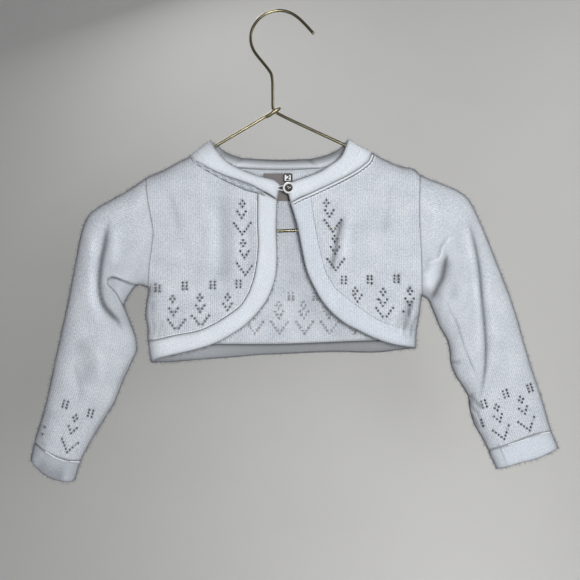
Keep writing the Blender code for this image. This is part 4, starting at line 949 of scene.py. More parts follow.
# Columns: rise, width, places
FRONT_CREASES = [
    (-1.9, 5.0, [(-173.0, -214.0), (-175.0, -234.0), (-178.0, -250.0), (-179.6, -266.5), (-179.0, -280.6),
                 (-175.0, -293.6), (-168.2, -302.0), (-161.0, -310.0), (-156.0, -320.0)]),
    (-4.2, 1.9, [(-169.0, -204.0), (-172.4, -218.0), (-174.0, -232.0), (-177.5, -248.0), (-179.6, -266.5),
                 (-179.0, -280.6), (-175.0, -293.6), (-168.2, -302.0), (-161.0, -310.0), (-156.0, -322.0)]),
    (1.8, 4.5, [(-163.0, -212.0), (-165.0, -238.0), (-167.0, -256.0)]),
    (2.4, 6.0, [(-186.0, -214.0), (-187.5, -250.0), (-187.0, -290.0), (-178.0, -316.0)]),
    (-1.3, 7.0, [(-203.0, -322.0), (-193.0, -345.0), (-195.0, -378.0)]),
    (-0.9, 3.0, [(-206.0, -350.0), (-200.0, -372.0), (-198.0, -392.0)]),
    (0.8, 4.0, [(-187.0, -330.0), (-180.0, -350.0), (-182.0, -375.0)]),
    (-1.5, 1.0, [(-146.5, -341.0), (-150.5, -350.0), (-160.0, -371.0), (-168.0, -391.0), (-178.5, -408.0),
                 (-192.0, -432.0)]),
    (-1.5, 8.0, [(-57.0, -180.0), (-55.0, -228.0), (-53.0, -280.0)]),
    (1.4, 7.0, [(-68.0, -185.0), (-67.0, -265.0)]),
    (-0.9, 4.0, [(-27.5, -184.0), (-28.5, -215.0), (-28.0, -250.0), (-33.0, -276.0)]),
    (0.7, 4.0, [(-40.0, -188.0), (-41.0, -230.0), (-42.0, -265.0)]),
    (-2.0, 1.4, [(-127.5, -286.0), (-125.5, -306.0), (-124.0, -326.0)]),
    (-1.8, 1.3, [(-123.0, -298.0), (-120.5, -314.0), (-119.0, -328.0)]),
    (-1.3, 1.3, [(-118.0, -306.0), (-115.0, -318.0), (-113.5, -330.0)]),
    (-0.8, 3.0, [(-112.0, -176.0), (-104.0, -200.0), (-100.0, -225.0)]),
    (-1.0, 6.0, [(64.0, -200.0), (58.0, -228.0), (53.0, -256.0)]),
    (-3.4, 1.7, [(64.5, -203.0), (60.0, -216.0), (57.0, -232.0), (53.5, -250.0), (50.0, -262.0)]),
    (1.4, 4.0, [(70.5, -200.0), (66.0, -230.0), (62.0, -258.0)]),
    (-3.2, 1.4, [(134.0, -284.0), (130.6, -297.0), (127.8, -307.0), (125.8, -318.0), (126.0, -328.0)]),
    (-2.8, 1.3, [(140.0, -301.0), (134.8, -310.0), (132.4, -318.0), (131.0, -328.0)]),
    (-0.8, 1.8, [(122.0, -298.0), (119.0, -309.0), (117.0, -322.0)]),
    (1.6, 1.9, [(137.0, -290.0), (133.5, -301.0), (130.0, -311.0)]),
    (-0.7, 3.0, [(112.0, -172.0), (108.0, -200.0), (106.0, -225.0)]),
    (-1.4, 4.5, [(187.5, -200.0), (192.0, -216.0), (199.5, -254.0), (202.4, -287.0), (206.0, -332.0),
                 (205.5, -356.0), (201.0, -380.0)]),
    (-3.0, 1.3, [(186.0, -198.0), (190.5, -212.0), (194.5, -228.0), (198.6, -248.0), (201.2, -270.0),
                 (203.0, -290.0), (205.6, -318.0), (206.6, -336.0), (205.6, -358.0), (201.4, -382.0),
                 (197.0, -396.0)]),
    (1.4, 3.6, [(183.0, -206.0), (189.5, -238.0), (195.0, -272.0), (199.5, -310.0), (200.5, -345.0)]),
    (1.0, 4.0, [(206.0, -244.0), (210.0, -290.0), (214.0, -330.0)]),
    (2.0, 4.5, [(146.0, -254.0), (159.0, -248.6), (163.0, -236.0), (175.0, -225.0)]),
    (3.4, 1.9, [(143.5, -255.5), (152.6, -249.6), (160.5, -247.0), (163.5, -236.0), (168.8, -228.6),
                (177.0, -223.0)]),
    (3.6, 7.0, [(146.0, -256.0), (150.5, -266.0), (148.0, -280.0)]),
    (-3.0, 5.0, [(168.0, -243.0), (164.5, -262.0), (157.0, -280.0), (151.5, -290.0)]),
    (-3.2, 1.9, [(169.0, -238.0), (166.0, -250.0), (162.5, -266.0), (155.5, -280.0), (150.5, -291.0)]),
    (-0.8, 3.6, [(177.5, -270.0), (173.0, -288.0)]),
    (-1.5, 1.1, [(165.0, -286.0), (171.0, -298.0), (177.0, -310.0), (186.0, -338.0), (200.0, -370.0)]),
    (-2.8, 1.2, [(171.0, -349.0), (176.0, -350.5), (182.0, -350.0)]),
    (-3.4, 2.4, [(190.0, -381.0), (195.0, -388.0), (203.0, -397.0)]),
    (-2.8, 1.4, [(189.5, -386.0), (193.0, -395.0), (199.5, -402.0)]),
    (1.2, 2.0, [(194.0, -382.0), (199.0, -389.0), (206.0, -396.0)]),
    (-2.2, 1.3, [(191.5, -400.0), (196.0, -408.0), (201.5, -418.0)]),
    (-1.9, 1.3, [(196.5, -399.0), (201.0, -408.0), (206.0, -418.0)]),
    (1.4, 0.9, [(219.0, -428.0), (224.0, -440.0), (229.5, -454.0)]),
    (-2.6, 9.0, [(-246.0, -452.0), (-232.0, -462.0), (-214.0, -466.0)]),
    (-1.6, 6.0, [(-234.0, -392.0), (-238.0, -418.0), (-238.0, -440.0)]),
    (1.0, 1.1, [(-233.0, -395.0), (-236.0, -412.0), (-236.0, -424.0), (-230.0, -436.0)]),
    (-2.2, 5.0, [(134.0, -288.0), (127.0, -304.0), (124.5, -318.0)]),
    (0.6, 3.5, [(150.0, -176.0), (156.0, -200.0), (158.0, -228.0)]),
]
BACK_CREASES = BACK_FOLDS + [
    (-0.9, 3.5, [(-60.0, -182.0), (-63.0, -235.0), (-58.0, -290.0)]),
    (0.8, 4.0, [(10.0, -176.0), (14.0, -230.0), (8.0, -292.0)]),
    (-0.9, 3.0, [(48.0, -186.0), (44.0, -240.0), (52.0, -285.0)]),
    (-1.0, 2.4, [(-124.0, -262.0), (-112.0, -272.0), (-100.0, -276.0)]),
    (-1.0, 2.4, [(136.0, -268.0), (122.0, -278.0), (108.0, -281.0)]),
    (-0.9, 3.0, [(-196.0, -230.0), (-194.0, -268.0), (-199.0, -300.0)]),
    (-1.0, 3.0, [(176.0, -226.0), (186.0, -262.0), (190.0, -300.0)]),
    (-0.9, 2.6, [(-186.0, -392.0), (-198.0, -404.0), (-212.0, -412.0)]),
    (-0.9, 2.6, [(196.0, -390.0), (208.0, -400.0), (222.0, -404.0)]),
]


# Edge of the right sleeve's front layer where it curls over at the armpit. Columns: x, z
CURL = [(-129.0, -274.6), (-137.0, -272.4), (-145.0, -271.3), (-156.3, -267.5), (-162.8, -265.0),
        (-168.0, -264.5), (-171.8, -266.5), (-173.0, -269.5), (-171.5, -273.5), (-164.5, -281.0),
        (-160.6, -287.6), (-155.0, -297.0)]
CURL_BEYOND = [(-140.0, -304.0), (-124.0, -290.0), (-126.0, -276.0)]
# How far the cloth behind is set back, over what reach, how high the edge rolls, and how far that reaches
# inside and outside of it
CURL_DEPTH = 5.2
CURL_STEP = 2.0
CURL_ROLL = 1.9
CURL_INNER = 1.2
CURL_OUTER = 3.2
# Where the curl begins, and how soon it is whole
CURL_START = -131.0
CURL_FADE = 12.0


def inside(points, outline):
    """Which points (x, z) lie inside a closed outline."""
    result = np.zeros(points.shape[:-1], bool)
    for a, b in zip(outline, np.roll(outline, -1, axis=0)):
        crosses = (a[1] > points[..., 1]) != (b[1] > points[..., 1])
        level = a[0] + (points[..., 1] - a[1]) * (b[0] - a[0]) / (b[1] - a[1] if b[1] != a[1] else 1e-9)
        result ^= crosses & (points[..., 0] < level)
    return result


def curled(points):
    """Rise of the right sleeve's front layer where its edge curls over and the cloth behind is set back."""
    line = smooth(CURL)
    gap = nearest(points.reshape(-1, 2), line)[0].reshape(points.shape[:-1])
    within = inside(points, np.vstack([line, CURL_BEYOND]))
    step = np.clip(gap / CURL_STEP, 0.0, 1.0)
    step = step * step * (3 - 2 * step)
    near_end = np.clip((CURL_START - points[..., 0]) / CURL_FADE, 0.0, 1.0)
    return near_end * np.where(within, CURL_ROLL * np.exp(-(gap / CURL_INNER) ** 2) - CURL_DEPTH * step,
                               CURL_ROLL * np.exp(-(gap / CURL_OUTER) ** 2))


# Painted shade beside the cloth's folds, where it turns from the light: how much darker, and over what
# distance: softly, and in a narrow line
SOFT_SHADE = 0.20
SOFT_REACH = 4.8
FOLD_SHADE = 0.42
FOLD_SHADE_REACH = 1.3
# Painted shade in a crease: how much darker it is at this depth; painted light on a ridge: how much lighter
CREASE_SHADE = 0.62
CREASE_DEPTH = 9.0
RIDGE_LIGHT = 0.07
RIDGE_HEIGHT = 2.0
# The narrow line of painted shade inside the curl: where it lies in depths of the curl, and its width
CURL_LINE = 0.45
CURL_LINE_WIDTH = 1.9
# Painted light over the set-back cloth inside the curl, and on its rolled edge for each millimetre of rise
CURL_LIGHT = 0.8
CURL_ROLL_LIGHT = 0.6
# How far from a fold the small unevenness reaches its full height
CALM_REACH = 10.0


def worn(points, folds, seed, rise=0.0, extra=None):
    """The outer face with its creases and its small unevenness, and its painted light and shade.

    The unevenness dies out at the folds and seams. The cloth is painted darker in its creases and along its
    folds, as painted shade, and lighter on its ridges, as painted light.
    """
    if extra is not None:
        rise = rise + extra
    place, normal = outer_face(points, folds, rise)
    distance, _ = to_fold(points)
    calm = np.clip(distance / CALM_REACH, 0.0, 1.0)
    place[..., 1] -= wrinkles(points, seed) * calm
    depth = relief(points, folds)
    if extra is not None:
        # Inside the curl, painted shade along its narrow line and painted light elsewhere; painted light on
        # the rolled edge
        line = np.exp(-((extra + CURL_DEPTH * CURL_LINE) / CURL_LINE_WIDTH) ** 2) * -CREASE_DEPTH
        depth = np.where(extra < 0, line + CURL_LIGHT, depth)
        depth = np.where(extra > 0, depth + extra * CURL_ROLL_LIGHT, depth)
    # Painted shade along the folds and in the creases, painted light on the ridges
    tone = (1 - SOFT_SHADE * np.exp(-distance / SOFT_REACH)
            - FOLD_SHADE * np.exp(-(distance / FOLD_SHADE_REACH) ** 2))
    tone = (tone - CREASE_SHADE * np.clip(-depth / CREASE_DEPTH, 0.0, 1.0)
            + RIDGE_LIGHT * np.clip(depth / RIDGE_HEIGHT, 0.0, 2.0))
    return place, normal, tone


# Body

# Seeds of the small unevenness
BACK_SEED = 5
BAND_SEED = 40
FRONT_EDGE_ROUND = 0.35
# On the back's inner side the painted light and shade is weaker, so it is lighter, and its eyelets are small
# and ringed with painted shade, dark as they look in the shade
BACK_INNER_TONE = 0.4
BACK_EYELET_SHADE = 0.2
BACK_EYELET_RADIUS = 0.45
BACK_LACE_ENDS = (-126.0, 133.0)
LEFT_BAND_RISE = 0.25
# Painted shade on the hem band's inner side: its tone, and how much darker its free edge is painted, over
# what distance
HEM_PAINTED_SHADE_TONE = 0.73
HEM_EDGE_SHADE = 0.12
HEM_EDGE_REACH = 3.0
# The back part of the neckband is painted darker towards its free edge, as painted shade where it leans
# back: at its ends, further in, and over what distance
NECK_END_SHADE = 0.08
NECK_SHADE = 0.32
NECK_SHADE_ROWS = 12.0
NECK_SHADE_START = 1.4
NECK_SHADE_REACH = 7.0


def front(half, lace, seed):
    """A front panel, from its shoulder fold to the seam of its band."""
    grid = patch(half["upper"], half["band_hem"], half["outer"], half["band_down"])
    rows, columns = grid.shape[:2]
    on_shoulder = np.arange(columns) < len(half["shoulder"])
    armpit = len(half["armhole"]) - 1
    on_side = np.arange(rows) >= armpit
    seams = drawn_back(grid, top=~on_shoulder, bottom=True, left=np.arange(rows) <= armpit, right=True)
    pulled(grid, seams, (0, 0), (0, 1))
    pulled(grid, seams, (0, len(half["shoulder"]) - 1), (0, len(half["shoulder"]) - 2))
    pulled(grid, seams, (-1, 0), (-2, 0))
    _, normals = outer_face(grid, [])
    places, _, tone = worn(seams, FRONT_CREASES, seed)
    on_fold = np.zeros((rows, columns), bool)
    on_fold[0] = on_shoulder
    on_fold[on_side, 0] = True
    set_apart(places, on_fold)
    name = half["name"] + "_front"
    item = cloth(name + "_jersey", places, normals, edges_of(grid, "tblr"), WALL, seams, seams, JERSEY,
                 edges="br" if half is RIGHT else "", lace=[(eyelets(lace), None)], tone=tone,
                 radius=FRONT_EDGE_ROUND)
    return dressed(item, name)


def back():
    """The back panel, with both shoulders, the neck between them and both armholes."""
    grid = patch(BACK_TOP, BACK_HEM, RIGHT["outer"], LEFT["outer"])
    rows, columns = grid.shape[:2]
    first_neck = len(SHOULDER_STOPS) - 1
    last_neck = columns - len(SHOULDER_STOPS)
    armpit = len(ARMHOLE_STOPS) - 1
    place = np.arange(columns)
    on_shoulder = (place <= first_neck) | (place >= last_neck)
    on_side = np.arange(rows) >= armpit
    at_armhole = np.arange(rows) <= armpit
    seams = drawn_back(grid, top=~on_shoulder, bottom=True, left=at_armhole, right=at_armhole)
    for column, beside, neck, way in ((0, 1, first_neck, -1), (-1, -2, last_neck, 1)):
        pulled(grid, seams, (0, column), (0, beside))
        pulled(grid, seams, (0, neck), (0, neck + way))
        pulled(grid, seams, (-1, column), (-2, column))
    _, normals = mirrored(*outer_face(grid, []))
    places, _, tone = worn(seams, BACK_CREASES, BACK_SEED)
    places, _ = mirrored(places, normals)
    on_fold = np.zeros((rows, columns), bool)
    on_fold[0] = on_shoulder
    on_fold[on_side, 0] = True
    on_fold[on_side, -1] = True
    set_apart(places, on_fold)
    lace = [(group, x + BACK_LACE_PITCH * k, z) for k in range(-6, 6) for group, x, z in BACK_LACE
            if BACK_LACE_ENDS[0] < x + BACK_LACE_PITCH * k < BACK_LACE_ENDS[1]]
    item = cloth("back_jersey", places, normals, edges_of(grid, "tblr"), WALL, seams, seams, JERSEY,
                 edges="b", lace=[(eyelets(lace), None)], tone=tone, inner_tone=BACK_INNER_TONE,
                 shade=BACK_EYELET_SHADE, eyelet=BACK_EYELET_RADIUS)
    return dressed(item, "back")


def along_and_across(grid):
    """Coordinates of the knit of a band: across it, and along it."""
    along = lengths(grid.mean(axis=1))
    across = np.stack([lengths(row) for row in grid])
    return np.stack([across, np.broadcast_to(along[:, None], across.shape)], axis=-1)


def front_band(half):
    """The band from the neck round the curved front edge to the side seam."""
    seam = join(half["band_down"], half["band_hem"][::-1])
    free = at_shares(smooth(half["lines"]["front_edge"]), shares_of(seam))
    grid = band(seam, free, end=stretch_of(half["lines"]["side"], "hem_seam", "hem"))
    seams = drawn_back(grid, top=True, left=True)
    pulled(grid, seams, (-1, 0), (-1, 1))
    _, normals = outer_face(grid, [], BAND_RISE)
    places, _, tone = worn(seams, FRONT_CREASES, BAND_SEED, BAND_RISE if half is RIGHT else LEFT_BAND_RISE)
    on_fold = np.zeros(grid.shape[:2], bool)
    on_fold[-1] = True
    set_apart(places, on_fold)
    name = half["name"] + "_front_band"
    knit = along_and_across(grid) if half is RIGHT else seams
    item = cloth(name + "_knit", places, normals, edges_of(grid, "tbl"), BAND_WALL, seams, knit,
                 BAND_KNIT if half is RIGHT else PLAIN_BAND, edges="tlr" if half is RIGHT else "r",
                 radius=BAND_ROUND, tone=tone)
    return dressed(item, name)


def back_hem_band():
    """The band along the back hem, which leans back except near the side seams."""
    free = at_shares(smooth(BACK_HEM_EDGE), shares_of(BACK_HEM))
    grid = band(BACK_HEM, free, *(stretch_of(side, "hem_seam", "hem") for side in (RIGHT_SIDE, LEFT_SIDE)))
    seams = drawn_back(grid, left=True)
    pulled(grid, seams, (0, 0), (0, 1))
    pulled(grid, seams, (-1, 0), (-1, 1))
    _, normals = mirrored(*outer_face(grid, [], BAND_RISE))
    places, _ = mirrored(*outer_face(seams, BACK_CREASES, BAND_RISE))
    places = leaning(grid, places, HEM_BAND_WIDTH)
    on_fold = np.zeros(grid.shape[:2], bool)
    on_fold[0] = True
    on_fold[-1] = True
    set_apart(places, on_fold)
    item = cloth("back_hem_band_knit", places, normals, edges_of(grid, "tbl"), BAND_WALL, seams,
                 along_and_across(grid), BAND_KNIT, edges="lr", radius=BAND_ROUND,
                 tone=HEM_PAINTED_SHADE_TONE - HEM_EDGE_SHADE * np.exp(-from_edges(places, "r") / HEM_EDGE_REACH))
    return dressed(item, "back_hem_band")


def neckband():
    """The band round the neck: right front, over the right shoulder, back, over the left one, left front."""
    stretches = []
    for half in (RIGHT, None, LEFT):
        if half is None:
            edge = at_shares(smooth(BACK_NECKBAND_EDGE), shares_of(BACK_NECK))
            grid = band(BACK_NECK, edge, RIGHT_SHOULDER_PEAK, LEFT_SHOULDER_PEAK)
        else:
            end = smooth(half["lines"]["neckband_foot"])
            end = at_shares(end, stops(lengths(end)[-1]))
            foot = join(half["neck"], end)
            edge = at_shares(smooth(half["lines"]["neckband_edge"]), shares_of(foot))
            grid = band(foot, edge, RIGHT_SHOULDER_PEAK if half is RIGHT else LEFT_SHOULDER_PEAK)
        seams = drawn_back(grid, left=True)
        for row in (0, -1) if half is None else (0,):
            pulled(grid, seams, (row, 0), (row, 1))
        _, normals = outer_face(grid, [], BAND_RISE)
        places, _ = outer_face(seams, [], BAND_RISE)
        held = edges_of(grid, "tbl" if half is None else "tl")
        if half is None:
            places, normals = mirrored(places, normals)
            places = leaning(grid, places, BACK_NECKBAND_WIDTH)
        way = -1 if half is RIGHT else 1
        tone = np.ones(seams.shape[:2])
        # Painted shade towards the back part's free edge
        if half is None:
            rows = np.arange(len(seams))
            share = np.clip(np.minimum(rows, rows[::-1]) / NECK_SHADE_ROWS, 0.0, 1.0)[:, None]
            near = np.clip(NECK_SHADE_START - from_edges(places, "r") / NECK_SHADE_REACH, 0.0, 1.0)
            tone = tone - (NECK_END_SHADE + share * NECK_SHADE) * near
        stretches.append((places[::way], normals[::way], held[::way], seams[::way], tone[::way]))
    places, normals, held, seams, tone = (join(*[stretch[k] for stretch in stretches]) for k in range(5))
    item = cloth("neckband_knit", places, normals, held, BAND_WALL, seams, along_and_across(places),
                 BAND_KNIT, edges="tblr", radius=BAND_ROUND, tone=tone)
    return dressed(item, "neckband")


# Sleeves and cuffs

CUFF_ROUND = 0.7
CUFF_RISE = BAND_RISE * 0.5
# The right cuff lies in the shade: it is painted darker, as painted shade
RIGHT_CUFF_PAINTED_SHADE = 0.88
# How far round the sleeve the lace of the back layer lies
LACE_BEHIND = 12.5


def tube(name, suffix, grid, seams, rise, thickness, material, lace=(), radius=EDGE_ROUND, seed=0,
         extra=None, painted_shade=1.0):
    """A flattened tube: its front layer, and its back layer on the same places, joined at both folds."""
    layers = []
    for folds, turn in ((FRONT_CREASES, False), (BACK_CREASES, True)):
        _, normals = outer_face(grid, [], rise)
        places, _, tone = worn(seams, folds, seed + turn, rise, None if turn else extra)
        places[:, 0, 1] = 0.0
        places[:, -1, 1] = 0.0
        flat = seams
        if turn:
            places, normals = mirrored(places[:, -2::-1], normals[:, -2::-1])
            flat = seams[:, -2::-1]
            tone = tone[:, -2::-1]
        layers.append((places, normals, flat, tone))
    places, normals, flat, tone = (np.concatenate([layer[k] for layer in layers], axis=1) for k in range(4))
    tone = tone * painted_shade
    normals[:, -1] = normals[:, 0]
    last = grid.shape[1] - 1
    across = np.stack([lengths(row) for row in flat])
    width = across[:, last]
    along = lengths(seams.mean(axis=1))
    knit = np.stack([across - width[:, None] / 2, np.broadcast_to(-along[:, None], across.shape)], axis=-1)
    held = edges_of(places, "tb" if name.endswith("sleeve") else "t")
    held[:, [0, last, -1]] = True
    layers = ((0, last), (last, 2 * last))
    item = cloth(name + suffix, places, normals, held, thickness, flat, knit, material, closed=True,
                 edges="tb", radius=radius, lace=list(zip(lace, layers)), tone=tone)
    return dressed(item, name)


def sleeve(half, lace, turn, seed):
    """A sleeve from its armhole seam to its cuff seam."""
    outer = stretch_of(half["lines"]["top"], "armhole", "cuff_seam")
    inner = stretch_of(half["lines"]["underarm"], "armpit", "cuff_seam")
    corner = lengths(stretch_of(half["lines"]["top"], "armhole", "hanger_end"))[-1]
    down = stops(lengths(outer)[-1], [corner + k * CORNER_STEP for k in range(-2, 3)], step=SLEEVE_STEP)
    rings = half["lines"]["rings"]
    inner_shares = np.interp(down, [row[0] for row in rings], [row[1] for row in rings])
    grid = patch(half["armhole"][::-1], half["cuff_seam"], at_shares(inner, inner_shares),
                 at_shares(outer, down))
    seams = drawn_back(grid, top=True, bottom=True)
    rise = SLEEVE_FULLNESS * np.sin(math.pi * down)[:, None]
    c, s = math.cos(math.radians(turn)), math.sin(math.radians(turn))
    behind = (LACE_BEHIND * c, LACE_BEHIND * s)
    return tube(half["name"] + "_sleeve", "_jersey", grid, seams, rise, WALL, JERSEY,
                lace=[eyelets(lace, turn), eyelets(lace, turn, behind)], seed=seed,
                extra=curled(seams) if half is RIGHT else None)


def cuff(half):
    """The double band at a sleeve's end."""
    down = eased(BAND_PARTS)
    edge = at_shares(smooth(half["lines"]["cuff_edge"]), shares_of(half["cuff_seam"]))
    grid = patch(half["cuff_seam"], edge,
                 at_shares(stretch_of(half["lines"]["underarm"], "cuff_seam", "cuff_edge"), down),
                 at_shares(stretch_of(half["lines"]["top"], "cuff_seam", "cuff_edge"), down))
    return tube(half["name"] + "_cuff", "_knit", grid, drawn_back(grid, top=True), CUFF_RISE, BAND_WALL,
                PLAIN_BAND, radius=CUFF_ROUND, painted_shade=RIGHT_CUFF_PAINTED_SHADE if half is RIGHT else 1.0)


def dressed(item, node):
    """Lets a piece ride on the body and stand for its solid."""
    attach(item, "root")
    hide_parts(node)
    return item


# Fastening, labels and hanger

# The two small rings that round each end of a rod. Columns: width as a fraction, reach in radii
ROD_ENDS = (((0.8, 1.0), 0.5), ((0.45, 0.8), 0.35))


def mesh_piece(name, points, faces, material, slot, node=None, smoothed=True, sharp=40.0):
    """A piece that rides on the body and may stand for a solid."""
    item = new_object(name, points, faces, material)
    mesh = item.data
    mesh.polygons.foreach_set("use_smooth", [smoothed] * len(faces))
    mesh.update()
    if smoothed:
        mesh.set_sharp_from_angle(angle=math.radians(sharp))
    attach(item, "root")
    if node:
        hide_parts(node)
    return item


def rod(path, radius, sides):
    """Points and faces of a round rod along a path, with round ends. The radius may vary along it."""
    path = np.asarray(path, float)
    radii = np.broadcast_to(np.asarray(radius, float), len(path))
    ahead = headings(path)
    side = np.cross(ahead[0], (0.0, 1.0, 0.0))
    side /= np.linalg.norm(side)
    points = []
    for i, (place, direction) in enumerate(zip(path, ahead)):
        side = side - direction * side.dot(direction)
        side /= np.linalg.norm(side)
        other = np.cross(direction, side)
        for k in range(sides):
            turn = 2 * math.pi * k / sides
            points.append(place + radii[i] * (math.cos(turn) * side + math.sin(turn) * other))
    faces = []
    for i in range(len(path) - 1):
        for k in range(sides):
            m = (k + 1) % sides
            faces.append((i * sides + k, i * sides + m, (i + 1) * sides + m, (i + 1) * sides + k))
    for end, way, ring in ((0, -1, range(sides)), (-1, 1, range(len(points) - sides, len(points)))):
        ring = list(ring)
        for size, reach in ROD_ENDS:
            start = len(points)
            for k in ring[:sides]:
                points.append(path[end] + (points[k] - path[end]) * size[0] / size[1]
                              + way * ahead[end] * radii[end] * reach)
            for k in range(sides):
                m = (k + 1) % sides
                loop = (ring[k], ring[m], start + m, start + k)
                faces.append(loop if way > 0 else loop[::-1])
            ring = list(range(start, start + sides))
        faces.append(tuple(ring) if way > 0 else tuple(reversed(ring)))
    return points, faces


# The swollen end of the wire over the bend. Columns: x, y, z
WELD = [(-12.0, -2.4, -105.0), (-7.5, -2.9, -102.2), (-3.0, -3.5, -99.2), (0.8, -3.7, -97.0)]
WELD_SWELL = 0.65
ARC_POINTS = 28


def arc(centre, radius, first, last):
    """Points of an arc in the hanger's plane, by its angles in degrees."""
    turns = np.radians(np.linspace(first, last, ARC_POINTS))
    return np.stack([centre[0] + radius * np.cos(turns), np.zeros(ARC_POINTS),
                     centre[1] + radius * np.sin(turns)], axis=1)


def rounded_path(path, step):
    """The path at even small steps."""
    path = np.asarray(path, float)
    return at_shares(path, np.linspace(0.0, 1.0, int(lengths(path)[-1] / step) + 1))


def build_hanger():
    """One wire: hook, stem, left arm, left end, bar, right end, right arm and the tip laid over the bend."""
    left_end = arc(LEFT_LOOP_CENTRE, LEFT_LOOP_RADIUS, 66.0, -88.0)
    right_end = arc(RIGHT_LOOP_CENTRE, RIGHT_LOOP_RADIUS, 272.0, 119.0)
    path = np.vstack([smooth(HANGER_HOOK), smooth(HANGER_FRAME[:4])[1:], HANGER_FRAME[4:], left_end,
                      right_end, HANGER_TIP])
    mesh_piece("hanger_wire", *rod(rounded_path(path, 1.4), WIRE_RADIUS, 24), GOLD, "wire", "hanger")
    bead = smooth(WELD)
    thick = WIRE_RADIUS + WELD_SWELL * np.sin(np.linspace(0.15, 1.0, len(bead)) * math.pi) ** 0.6
    mesh_piece("hanger_weld", *rod(bead, thick, 16), GOLD, "wire")


def lathe(profile, centre, sides):
    """Points and faces of a piece turned about an axis along Y. Columns of the profile: radius, y."""
    points = []
    for radius, y in profile:
        for k in range(sides):
            turn = 2 * math.pi * k / sides
            points.append((centre[0] + radius * math.cos(turn), y, centre[1] + radius * math.sin(turn)))
    faces = []
    for i in range(len(profile) - 1):
        for k in range(sides):
            m = (k + 1) % sides
            a, b = i * sides + k, i * sides + m
            faces.append((a, b, b + sides, a + sides))
    return points, faces


# The two ridges of the button's rim. Columns: inset of the middle, half width, level, height
RIMS = ((0.55, 0.55, 0.5, 0.5), (1.35, 0.3, 0.55, 0.45))
RIM_PARTS = 8
# Rings of the stone. Columns: radius, level, sides, turn in sides
STONE_RINGS = ((3.9, 0.95, 16, 0.0), (3.5, 0.3, 16, 0.5), (2.2, -0.15, 8, 0.25))
# Facets of the stone in the pearl's white, as painted glints. Columns: direction in degrees, reach in mm
GLINTS = [(128.0, 1.9), (8.0, 2.2), (262.0, 1.5)]
# Corners of a facet and its top. Columns: share of the reach, angle in degrees, level
GLINT_CORNERS = ((0.7, -24.0, -0.22), (1, 0.0, -0.16), (0.7, 24.0, -0.22), (0.55, 0.0, -0.34))
GLINT_ROOT = (0.25, 0.0, -0.2)
# The thread loop: how far before the shank its sides bend, and half their distance at its root
LOOP_BEND = 5.0
LOOP_ROOT_HALF = 1.4
LOOP_TURNS = 6


def on_button(radius, angle, y):
    """A place on the button by its distance and direction from the middle."""
    return (BUTTON_AT[0] + radius * math.cos(angle), y, BUTTON_AT[1] + radius * math.sin(angle))


def build_fastening():
    """The button: a pearl rim round a faceted dark stone with painted glints, on its shank, and the thread
    loop.
    """
    foot = -(BODY_HALF_DEPTH + BAND_RISE) - SEAM_GAP
    rear = foot - SHANK_HEIGHT
    face = rear - BUTTON_THICKNESS
    r = BUTTON_RADIUS
    profile = [(0.02, foot), (SHANK_RADIUS, foot), (SHANK_RADIUS, rear), (r - 0.8, rear),
               (r - 0.25, rear - 0.25), (r, rear - 0.9)]
    for first, (inset, half, level, height) in enumerate(RIMS):
        for k in range(first, RIM_PARTS + 1):
            turn = math.pi * k / RIM_PARTS
            profile.append((r - inset + half * math.cos(turn), face + level - height * math.sin(turn)))
    profile += [(r - 1.7, face + 1.0), (0.02, face + 1.1)]
    mesh_piece("button_rim", *lathe(profile, BUTTON_AT, 64), PEARL, "button", "button", sharp=50.0)
    points, faces = [], []
    for radius, y, sides, turn in STONE_RINGS:
        for k in range(sides):
            points.append(on_button(radius, 2 * math.pi * (k + turn) / sides, face + y))
    for k in range(16):
        m = (k + 1) % 16
        faces.append((k, m, 16 + k))
        faces.append((m, 16 + m, 16 + k))
    for k in range(8):
        a, b, c = 16 + 2 * k, 16 + (2 * k + 1) % 16, 16 + (2 * k + 2) % 16
        faces.append((a, b, 32 + k))
        faces.append((b, c, 32 + (k + 1) % 8))
        faces.append((b, 32 + (k + 1) % 8, 32 + k))
    faces.append(tuple(32 + k for k in range(8)))
    mesh_piece("button_stone", points, faces, STONE, "button", smoothed=False)
    # Painted glints: small facets on the stone in the pearl's white
    points, faces = [], []
    for turn, reach in GLINTS:
        first = len(points)
        corners = [GLINT_ROOT] + [(reach * share, side, y) for share, side, y in GLINT_CORNERS]
        for radius, side, y in corners:
            points.append(on_button(radius, math.radians(turn + side), face + y))
        for k in range(4):
            faces.append((first + k, first + (k + 1) % 4, first + 4))
        faces.append((first + 3, first + 2, first + 1, first))
    mesh_piece("button_painted_glints", points, faces, PEARL, "button", smoothed=False)
    x, z = BUTTON_AT
    level = foot - SHANK_HEIGHT / 2
    beside = SHANK_RADIUS + SEAM_GAP + LOOP_RADIUS + 0.1
    path = [(LOOP_ROOT_X, level + 0.1, z + LOOP_ROOT_HALF), (x - LOOP_BEND, level, z + beside)]
    for k in range(LOOP_TURNS + 1):
        path.append(on_button(beside, math.radians(90 - 30 * k), level))
    path += [(x - LOOP_BEND, level, z - beside), (LOOP_ROOT_X, level + 0.1, z - LOOP_ROOT_HALF)]
    path = rounded_path(smooth(path), 0.35)
    wave = LOOP_RADIUS * (0.86 + 0.14 * np.cos(np.arange(len(path)) * 1.5))
    mesh_piece("button_thread", *rod(path, wave, 10), THREAD, "knit", "button_loop")


# Label and size tab. Columns: left, right, low, high
LABEL = (-16.0, 13.6, -188.2, -160.2)
TAB_BOX = (4.0, 13.4, -169.6, -160.4)
LABEL_THICKNESS = 0.8
LABEL_REAR = BODY_HALF_DEPTH - 1.2 - SEAM_GAP
TAB_REAR = LABEL_REAR - 1.0 - SEAM_GAP
CORNER_PARTS = 5
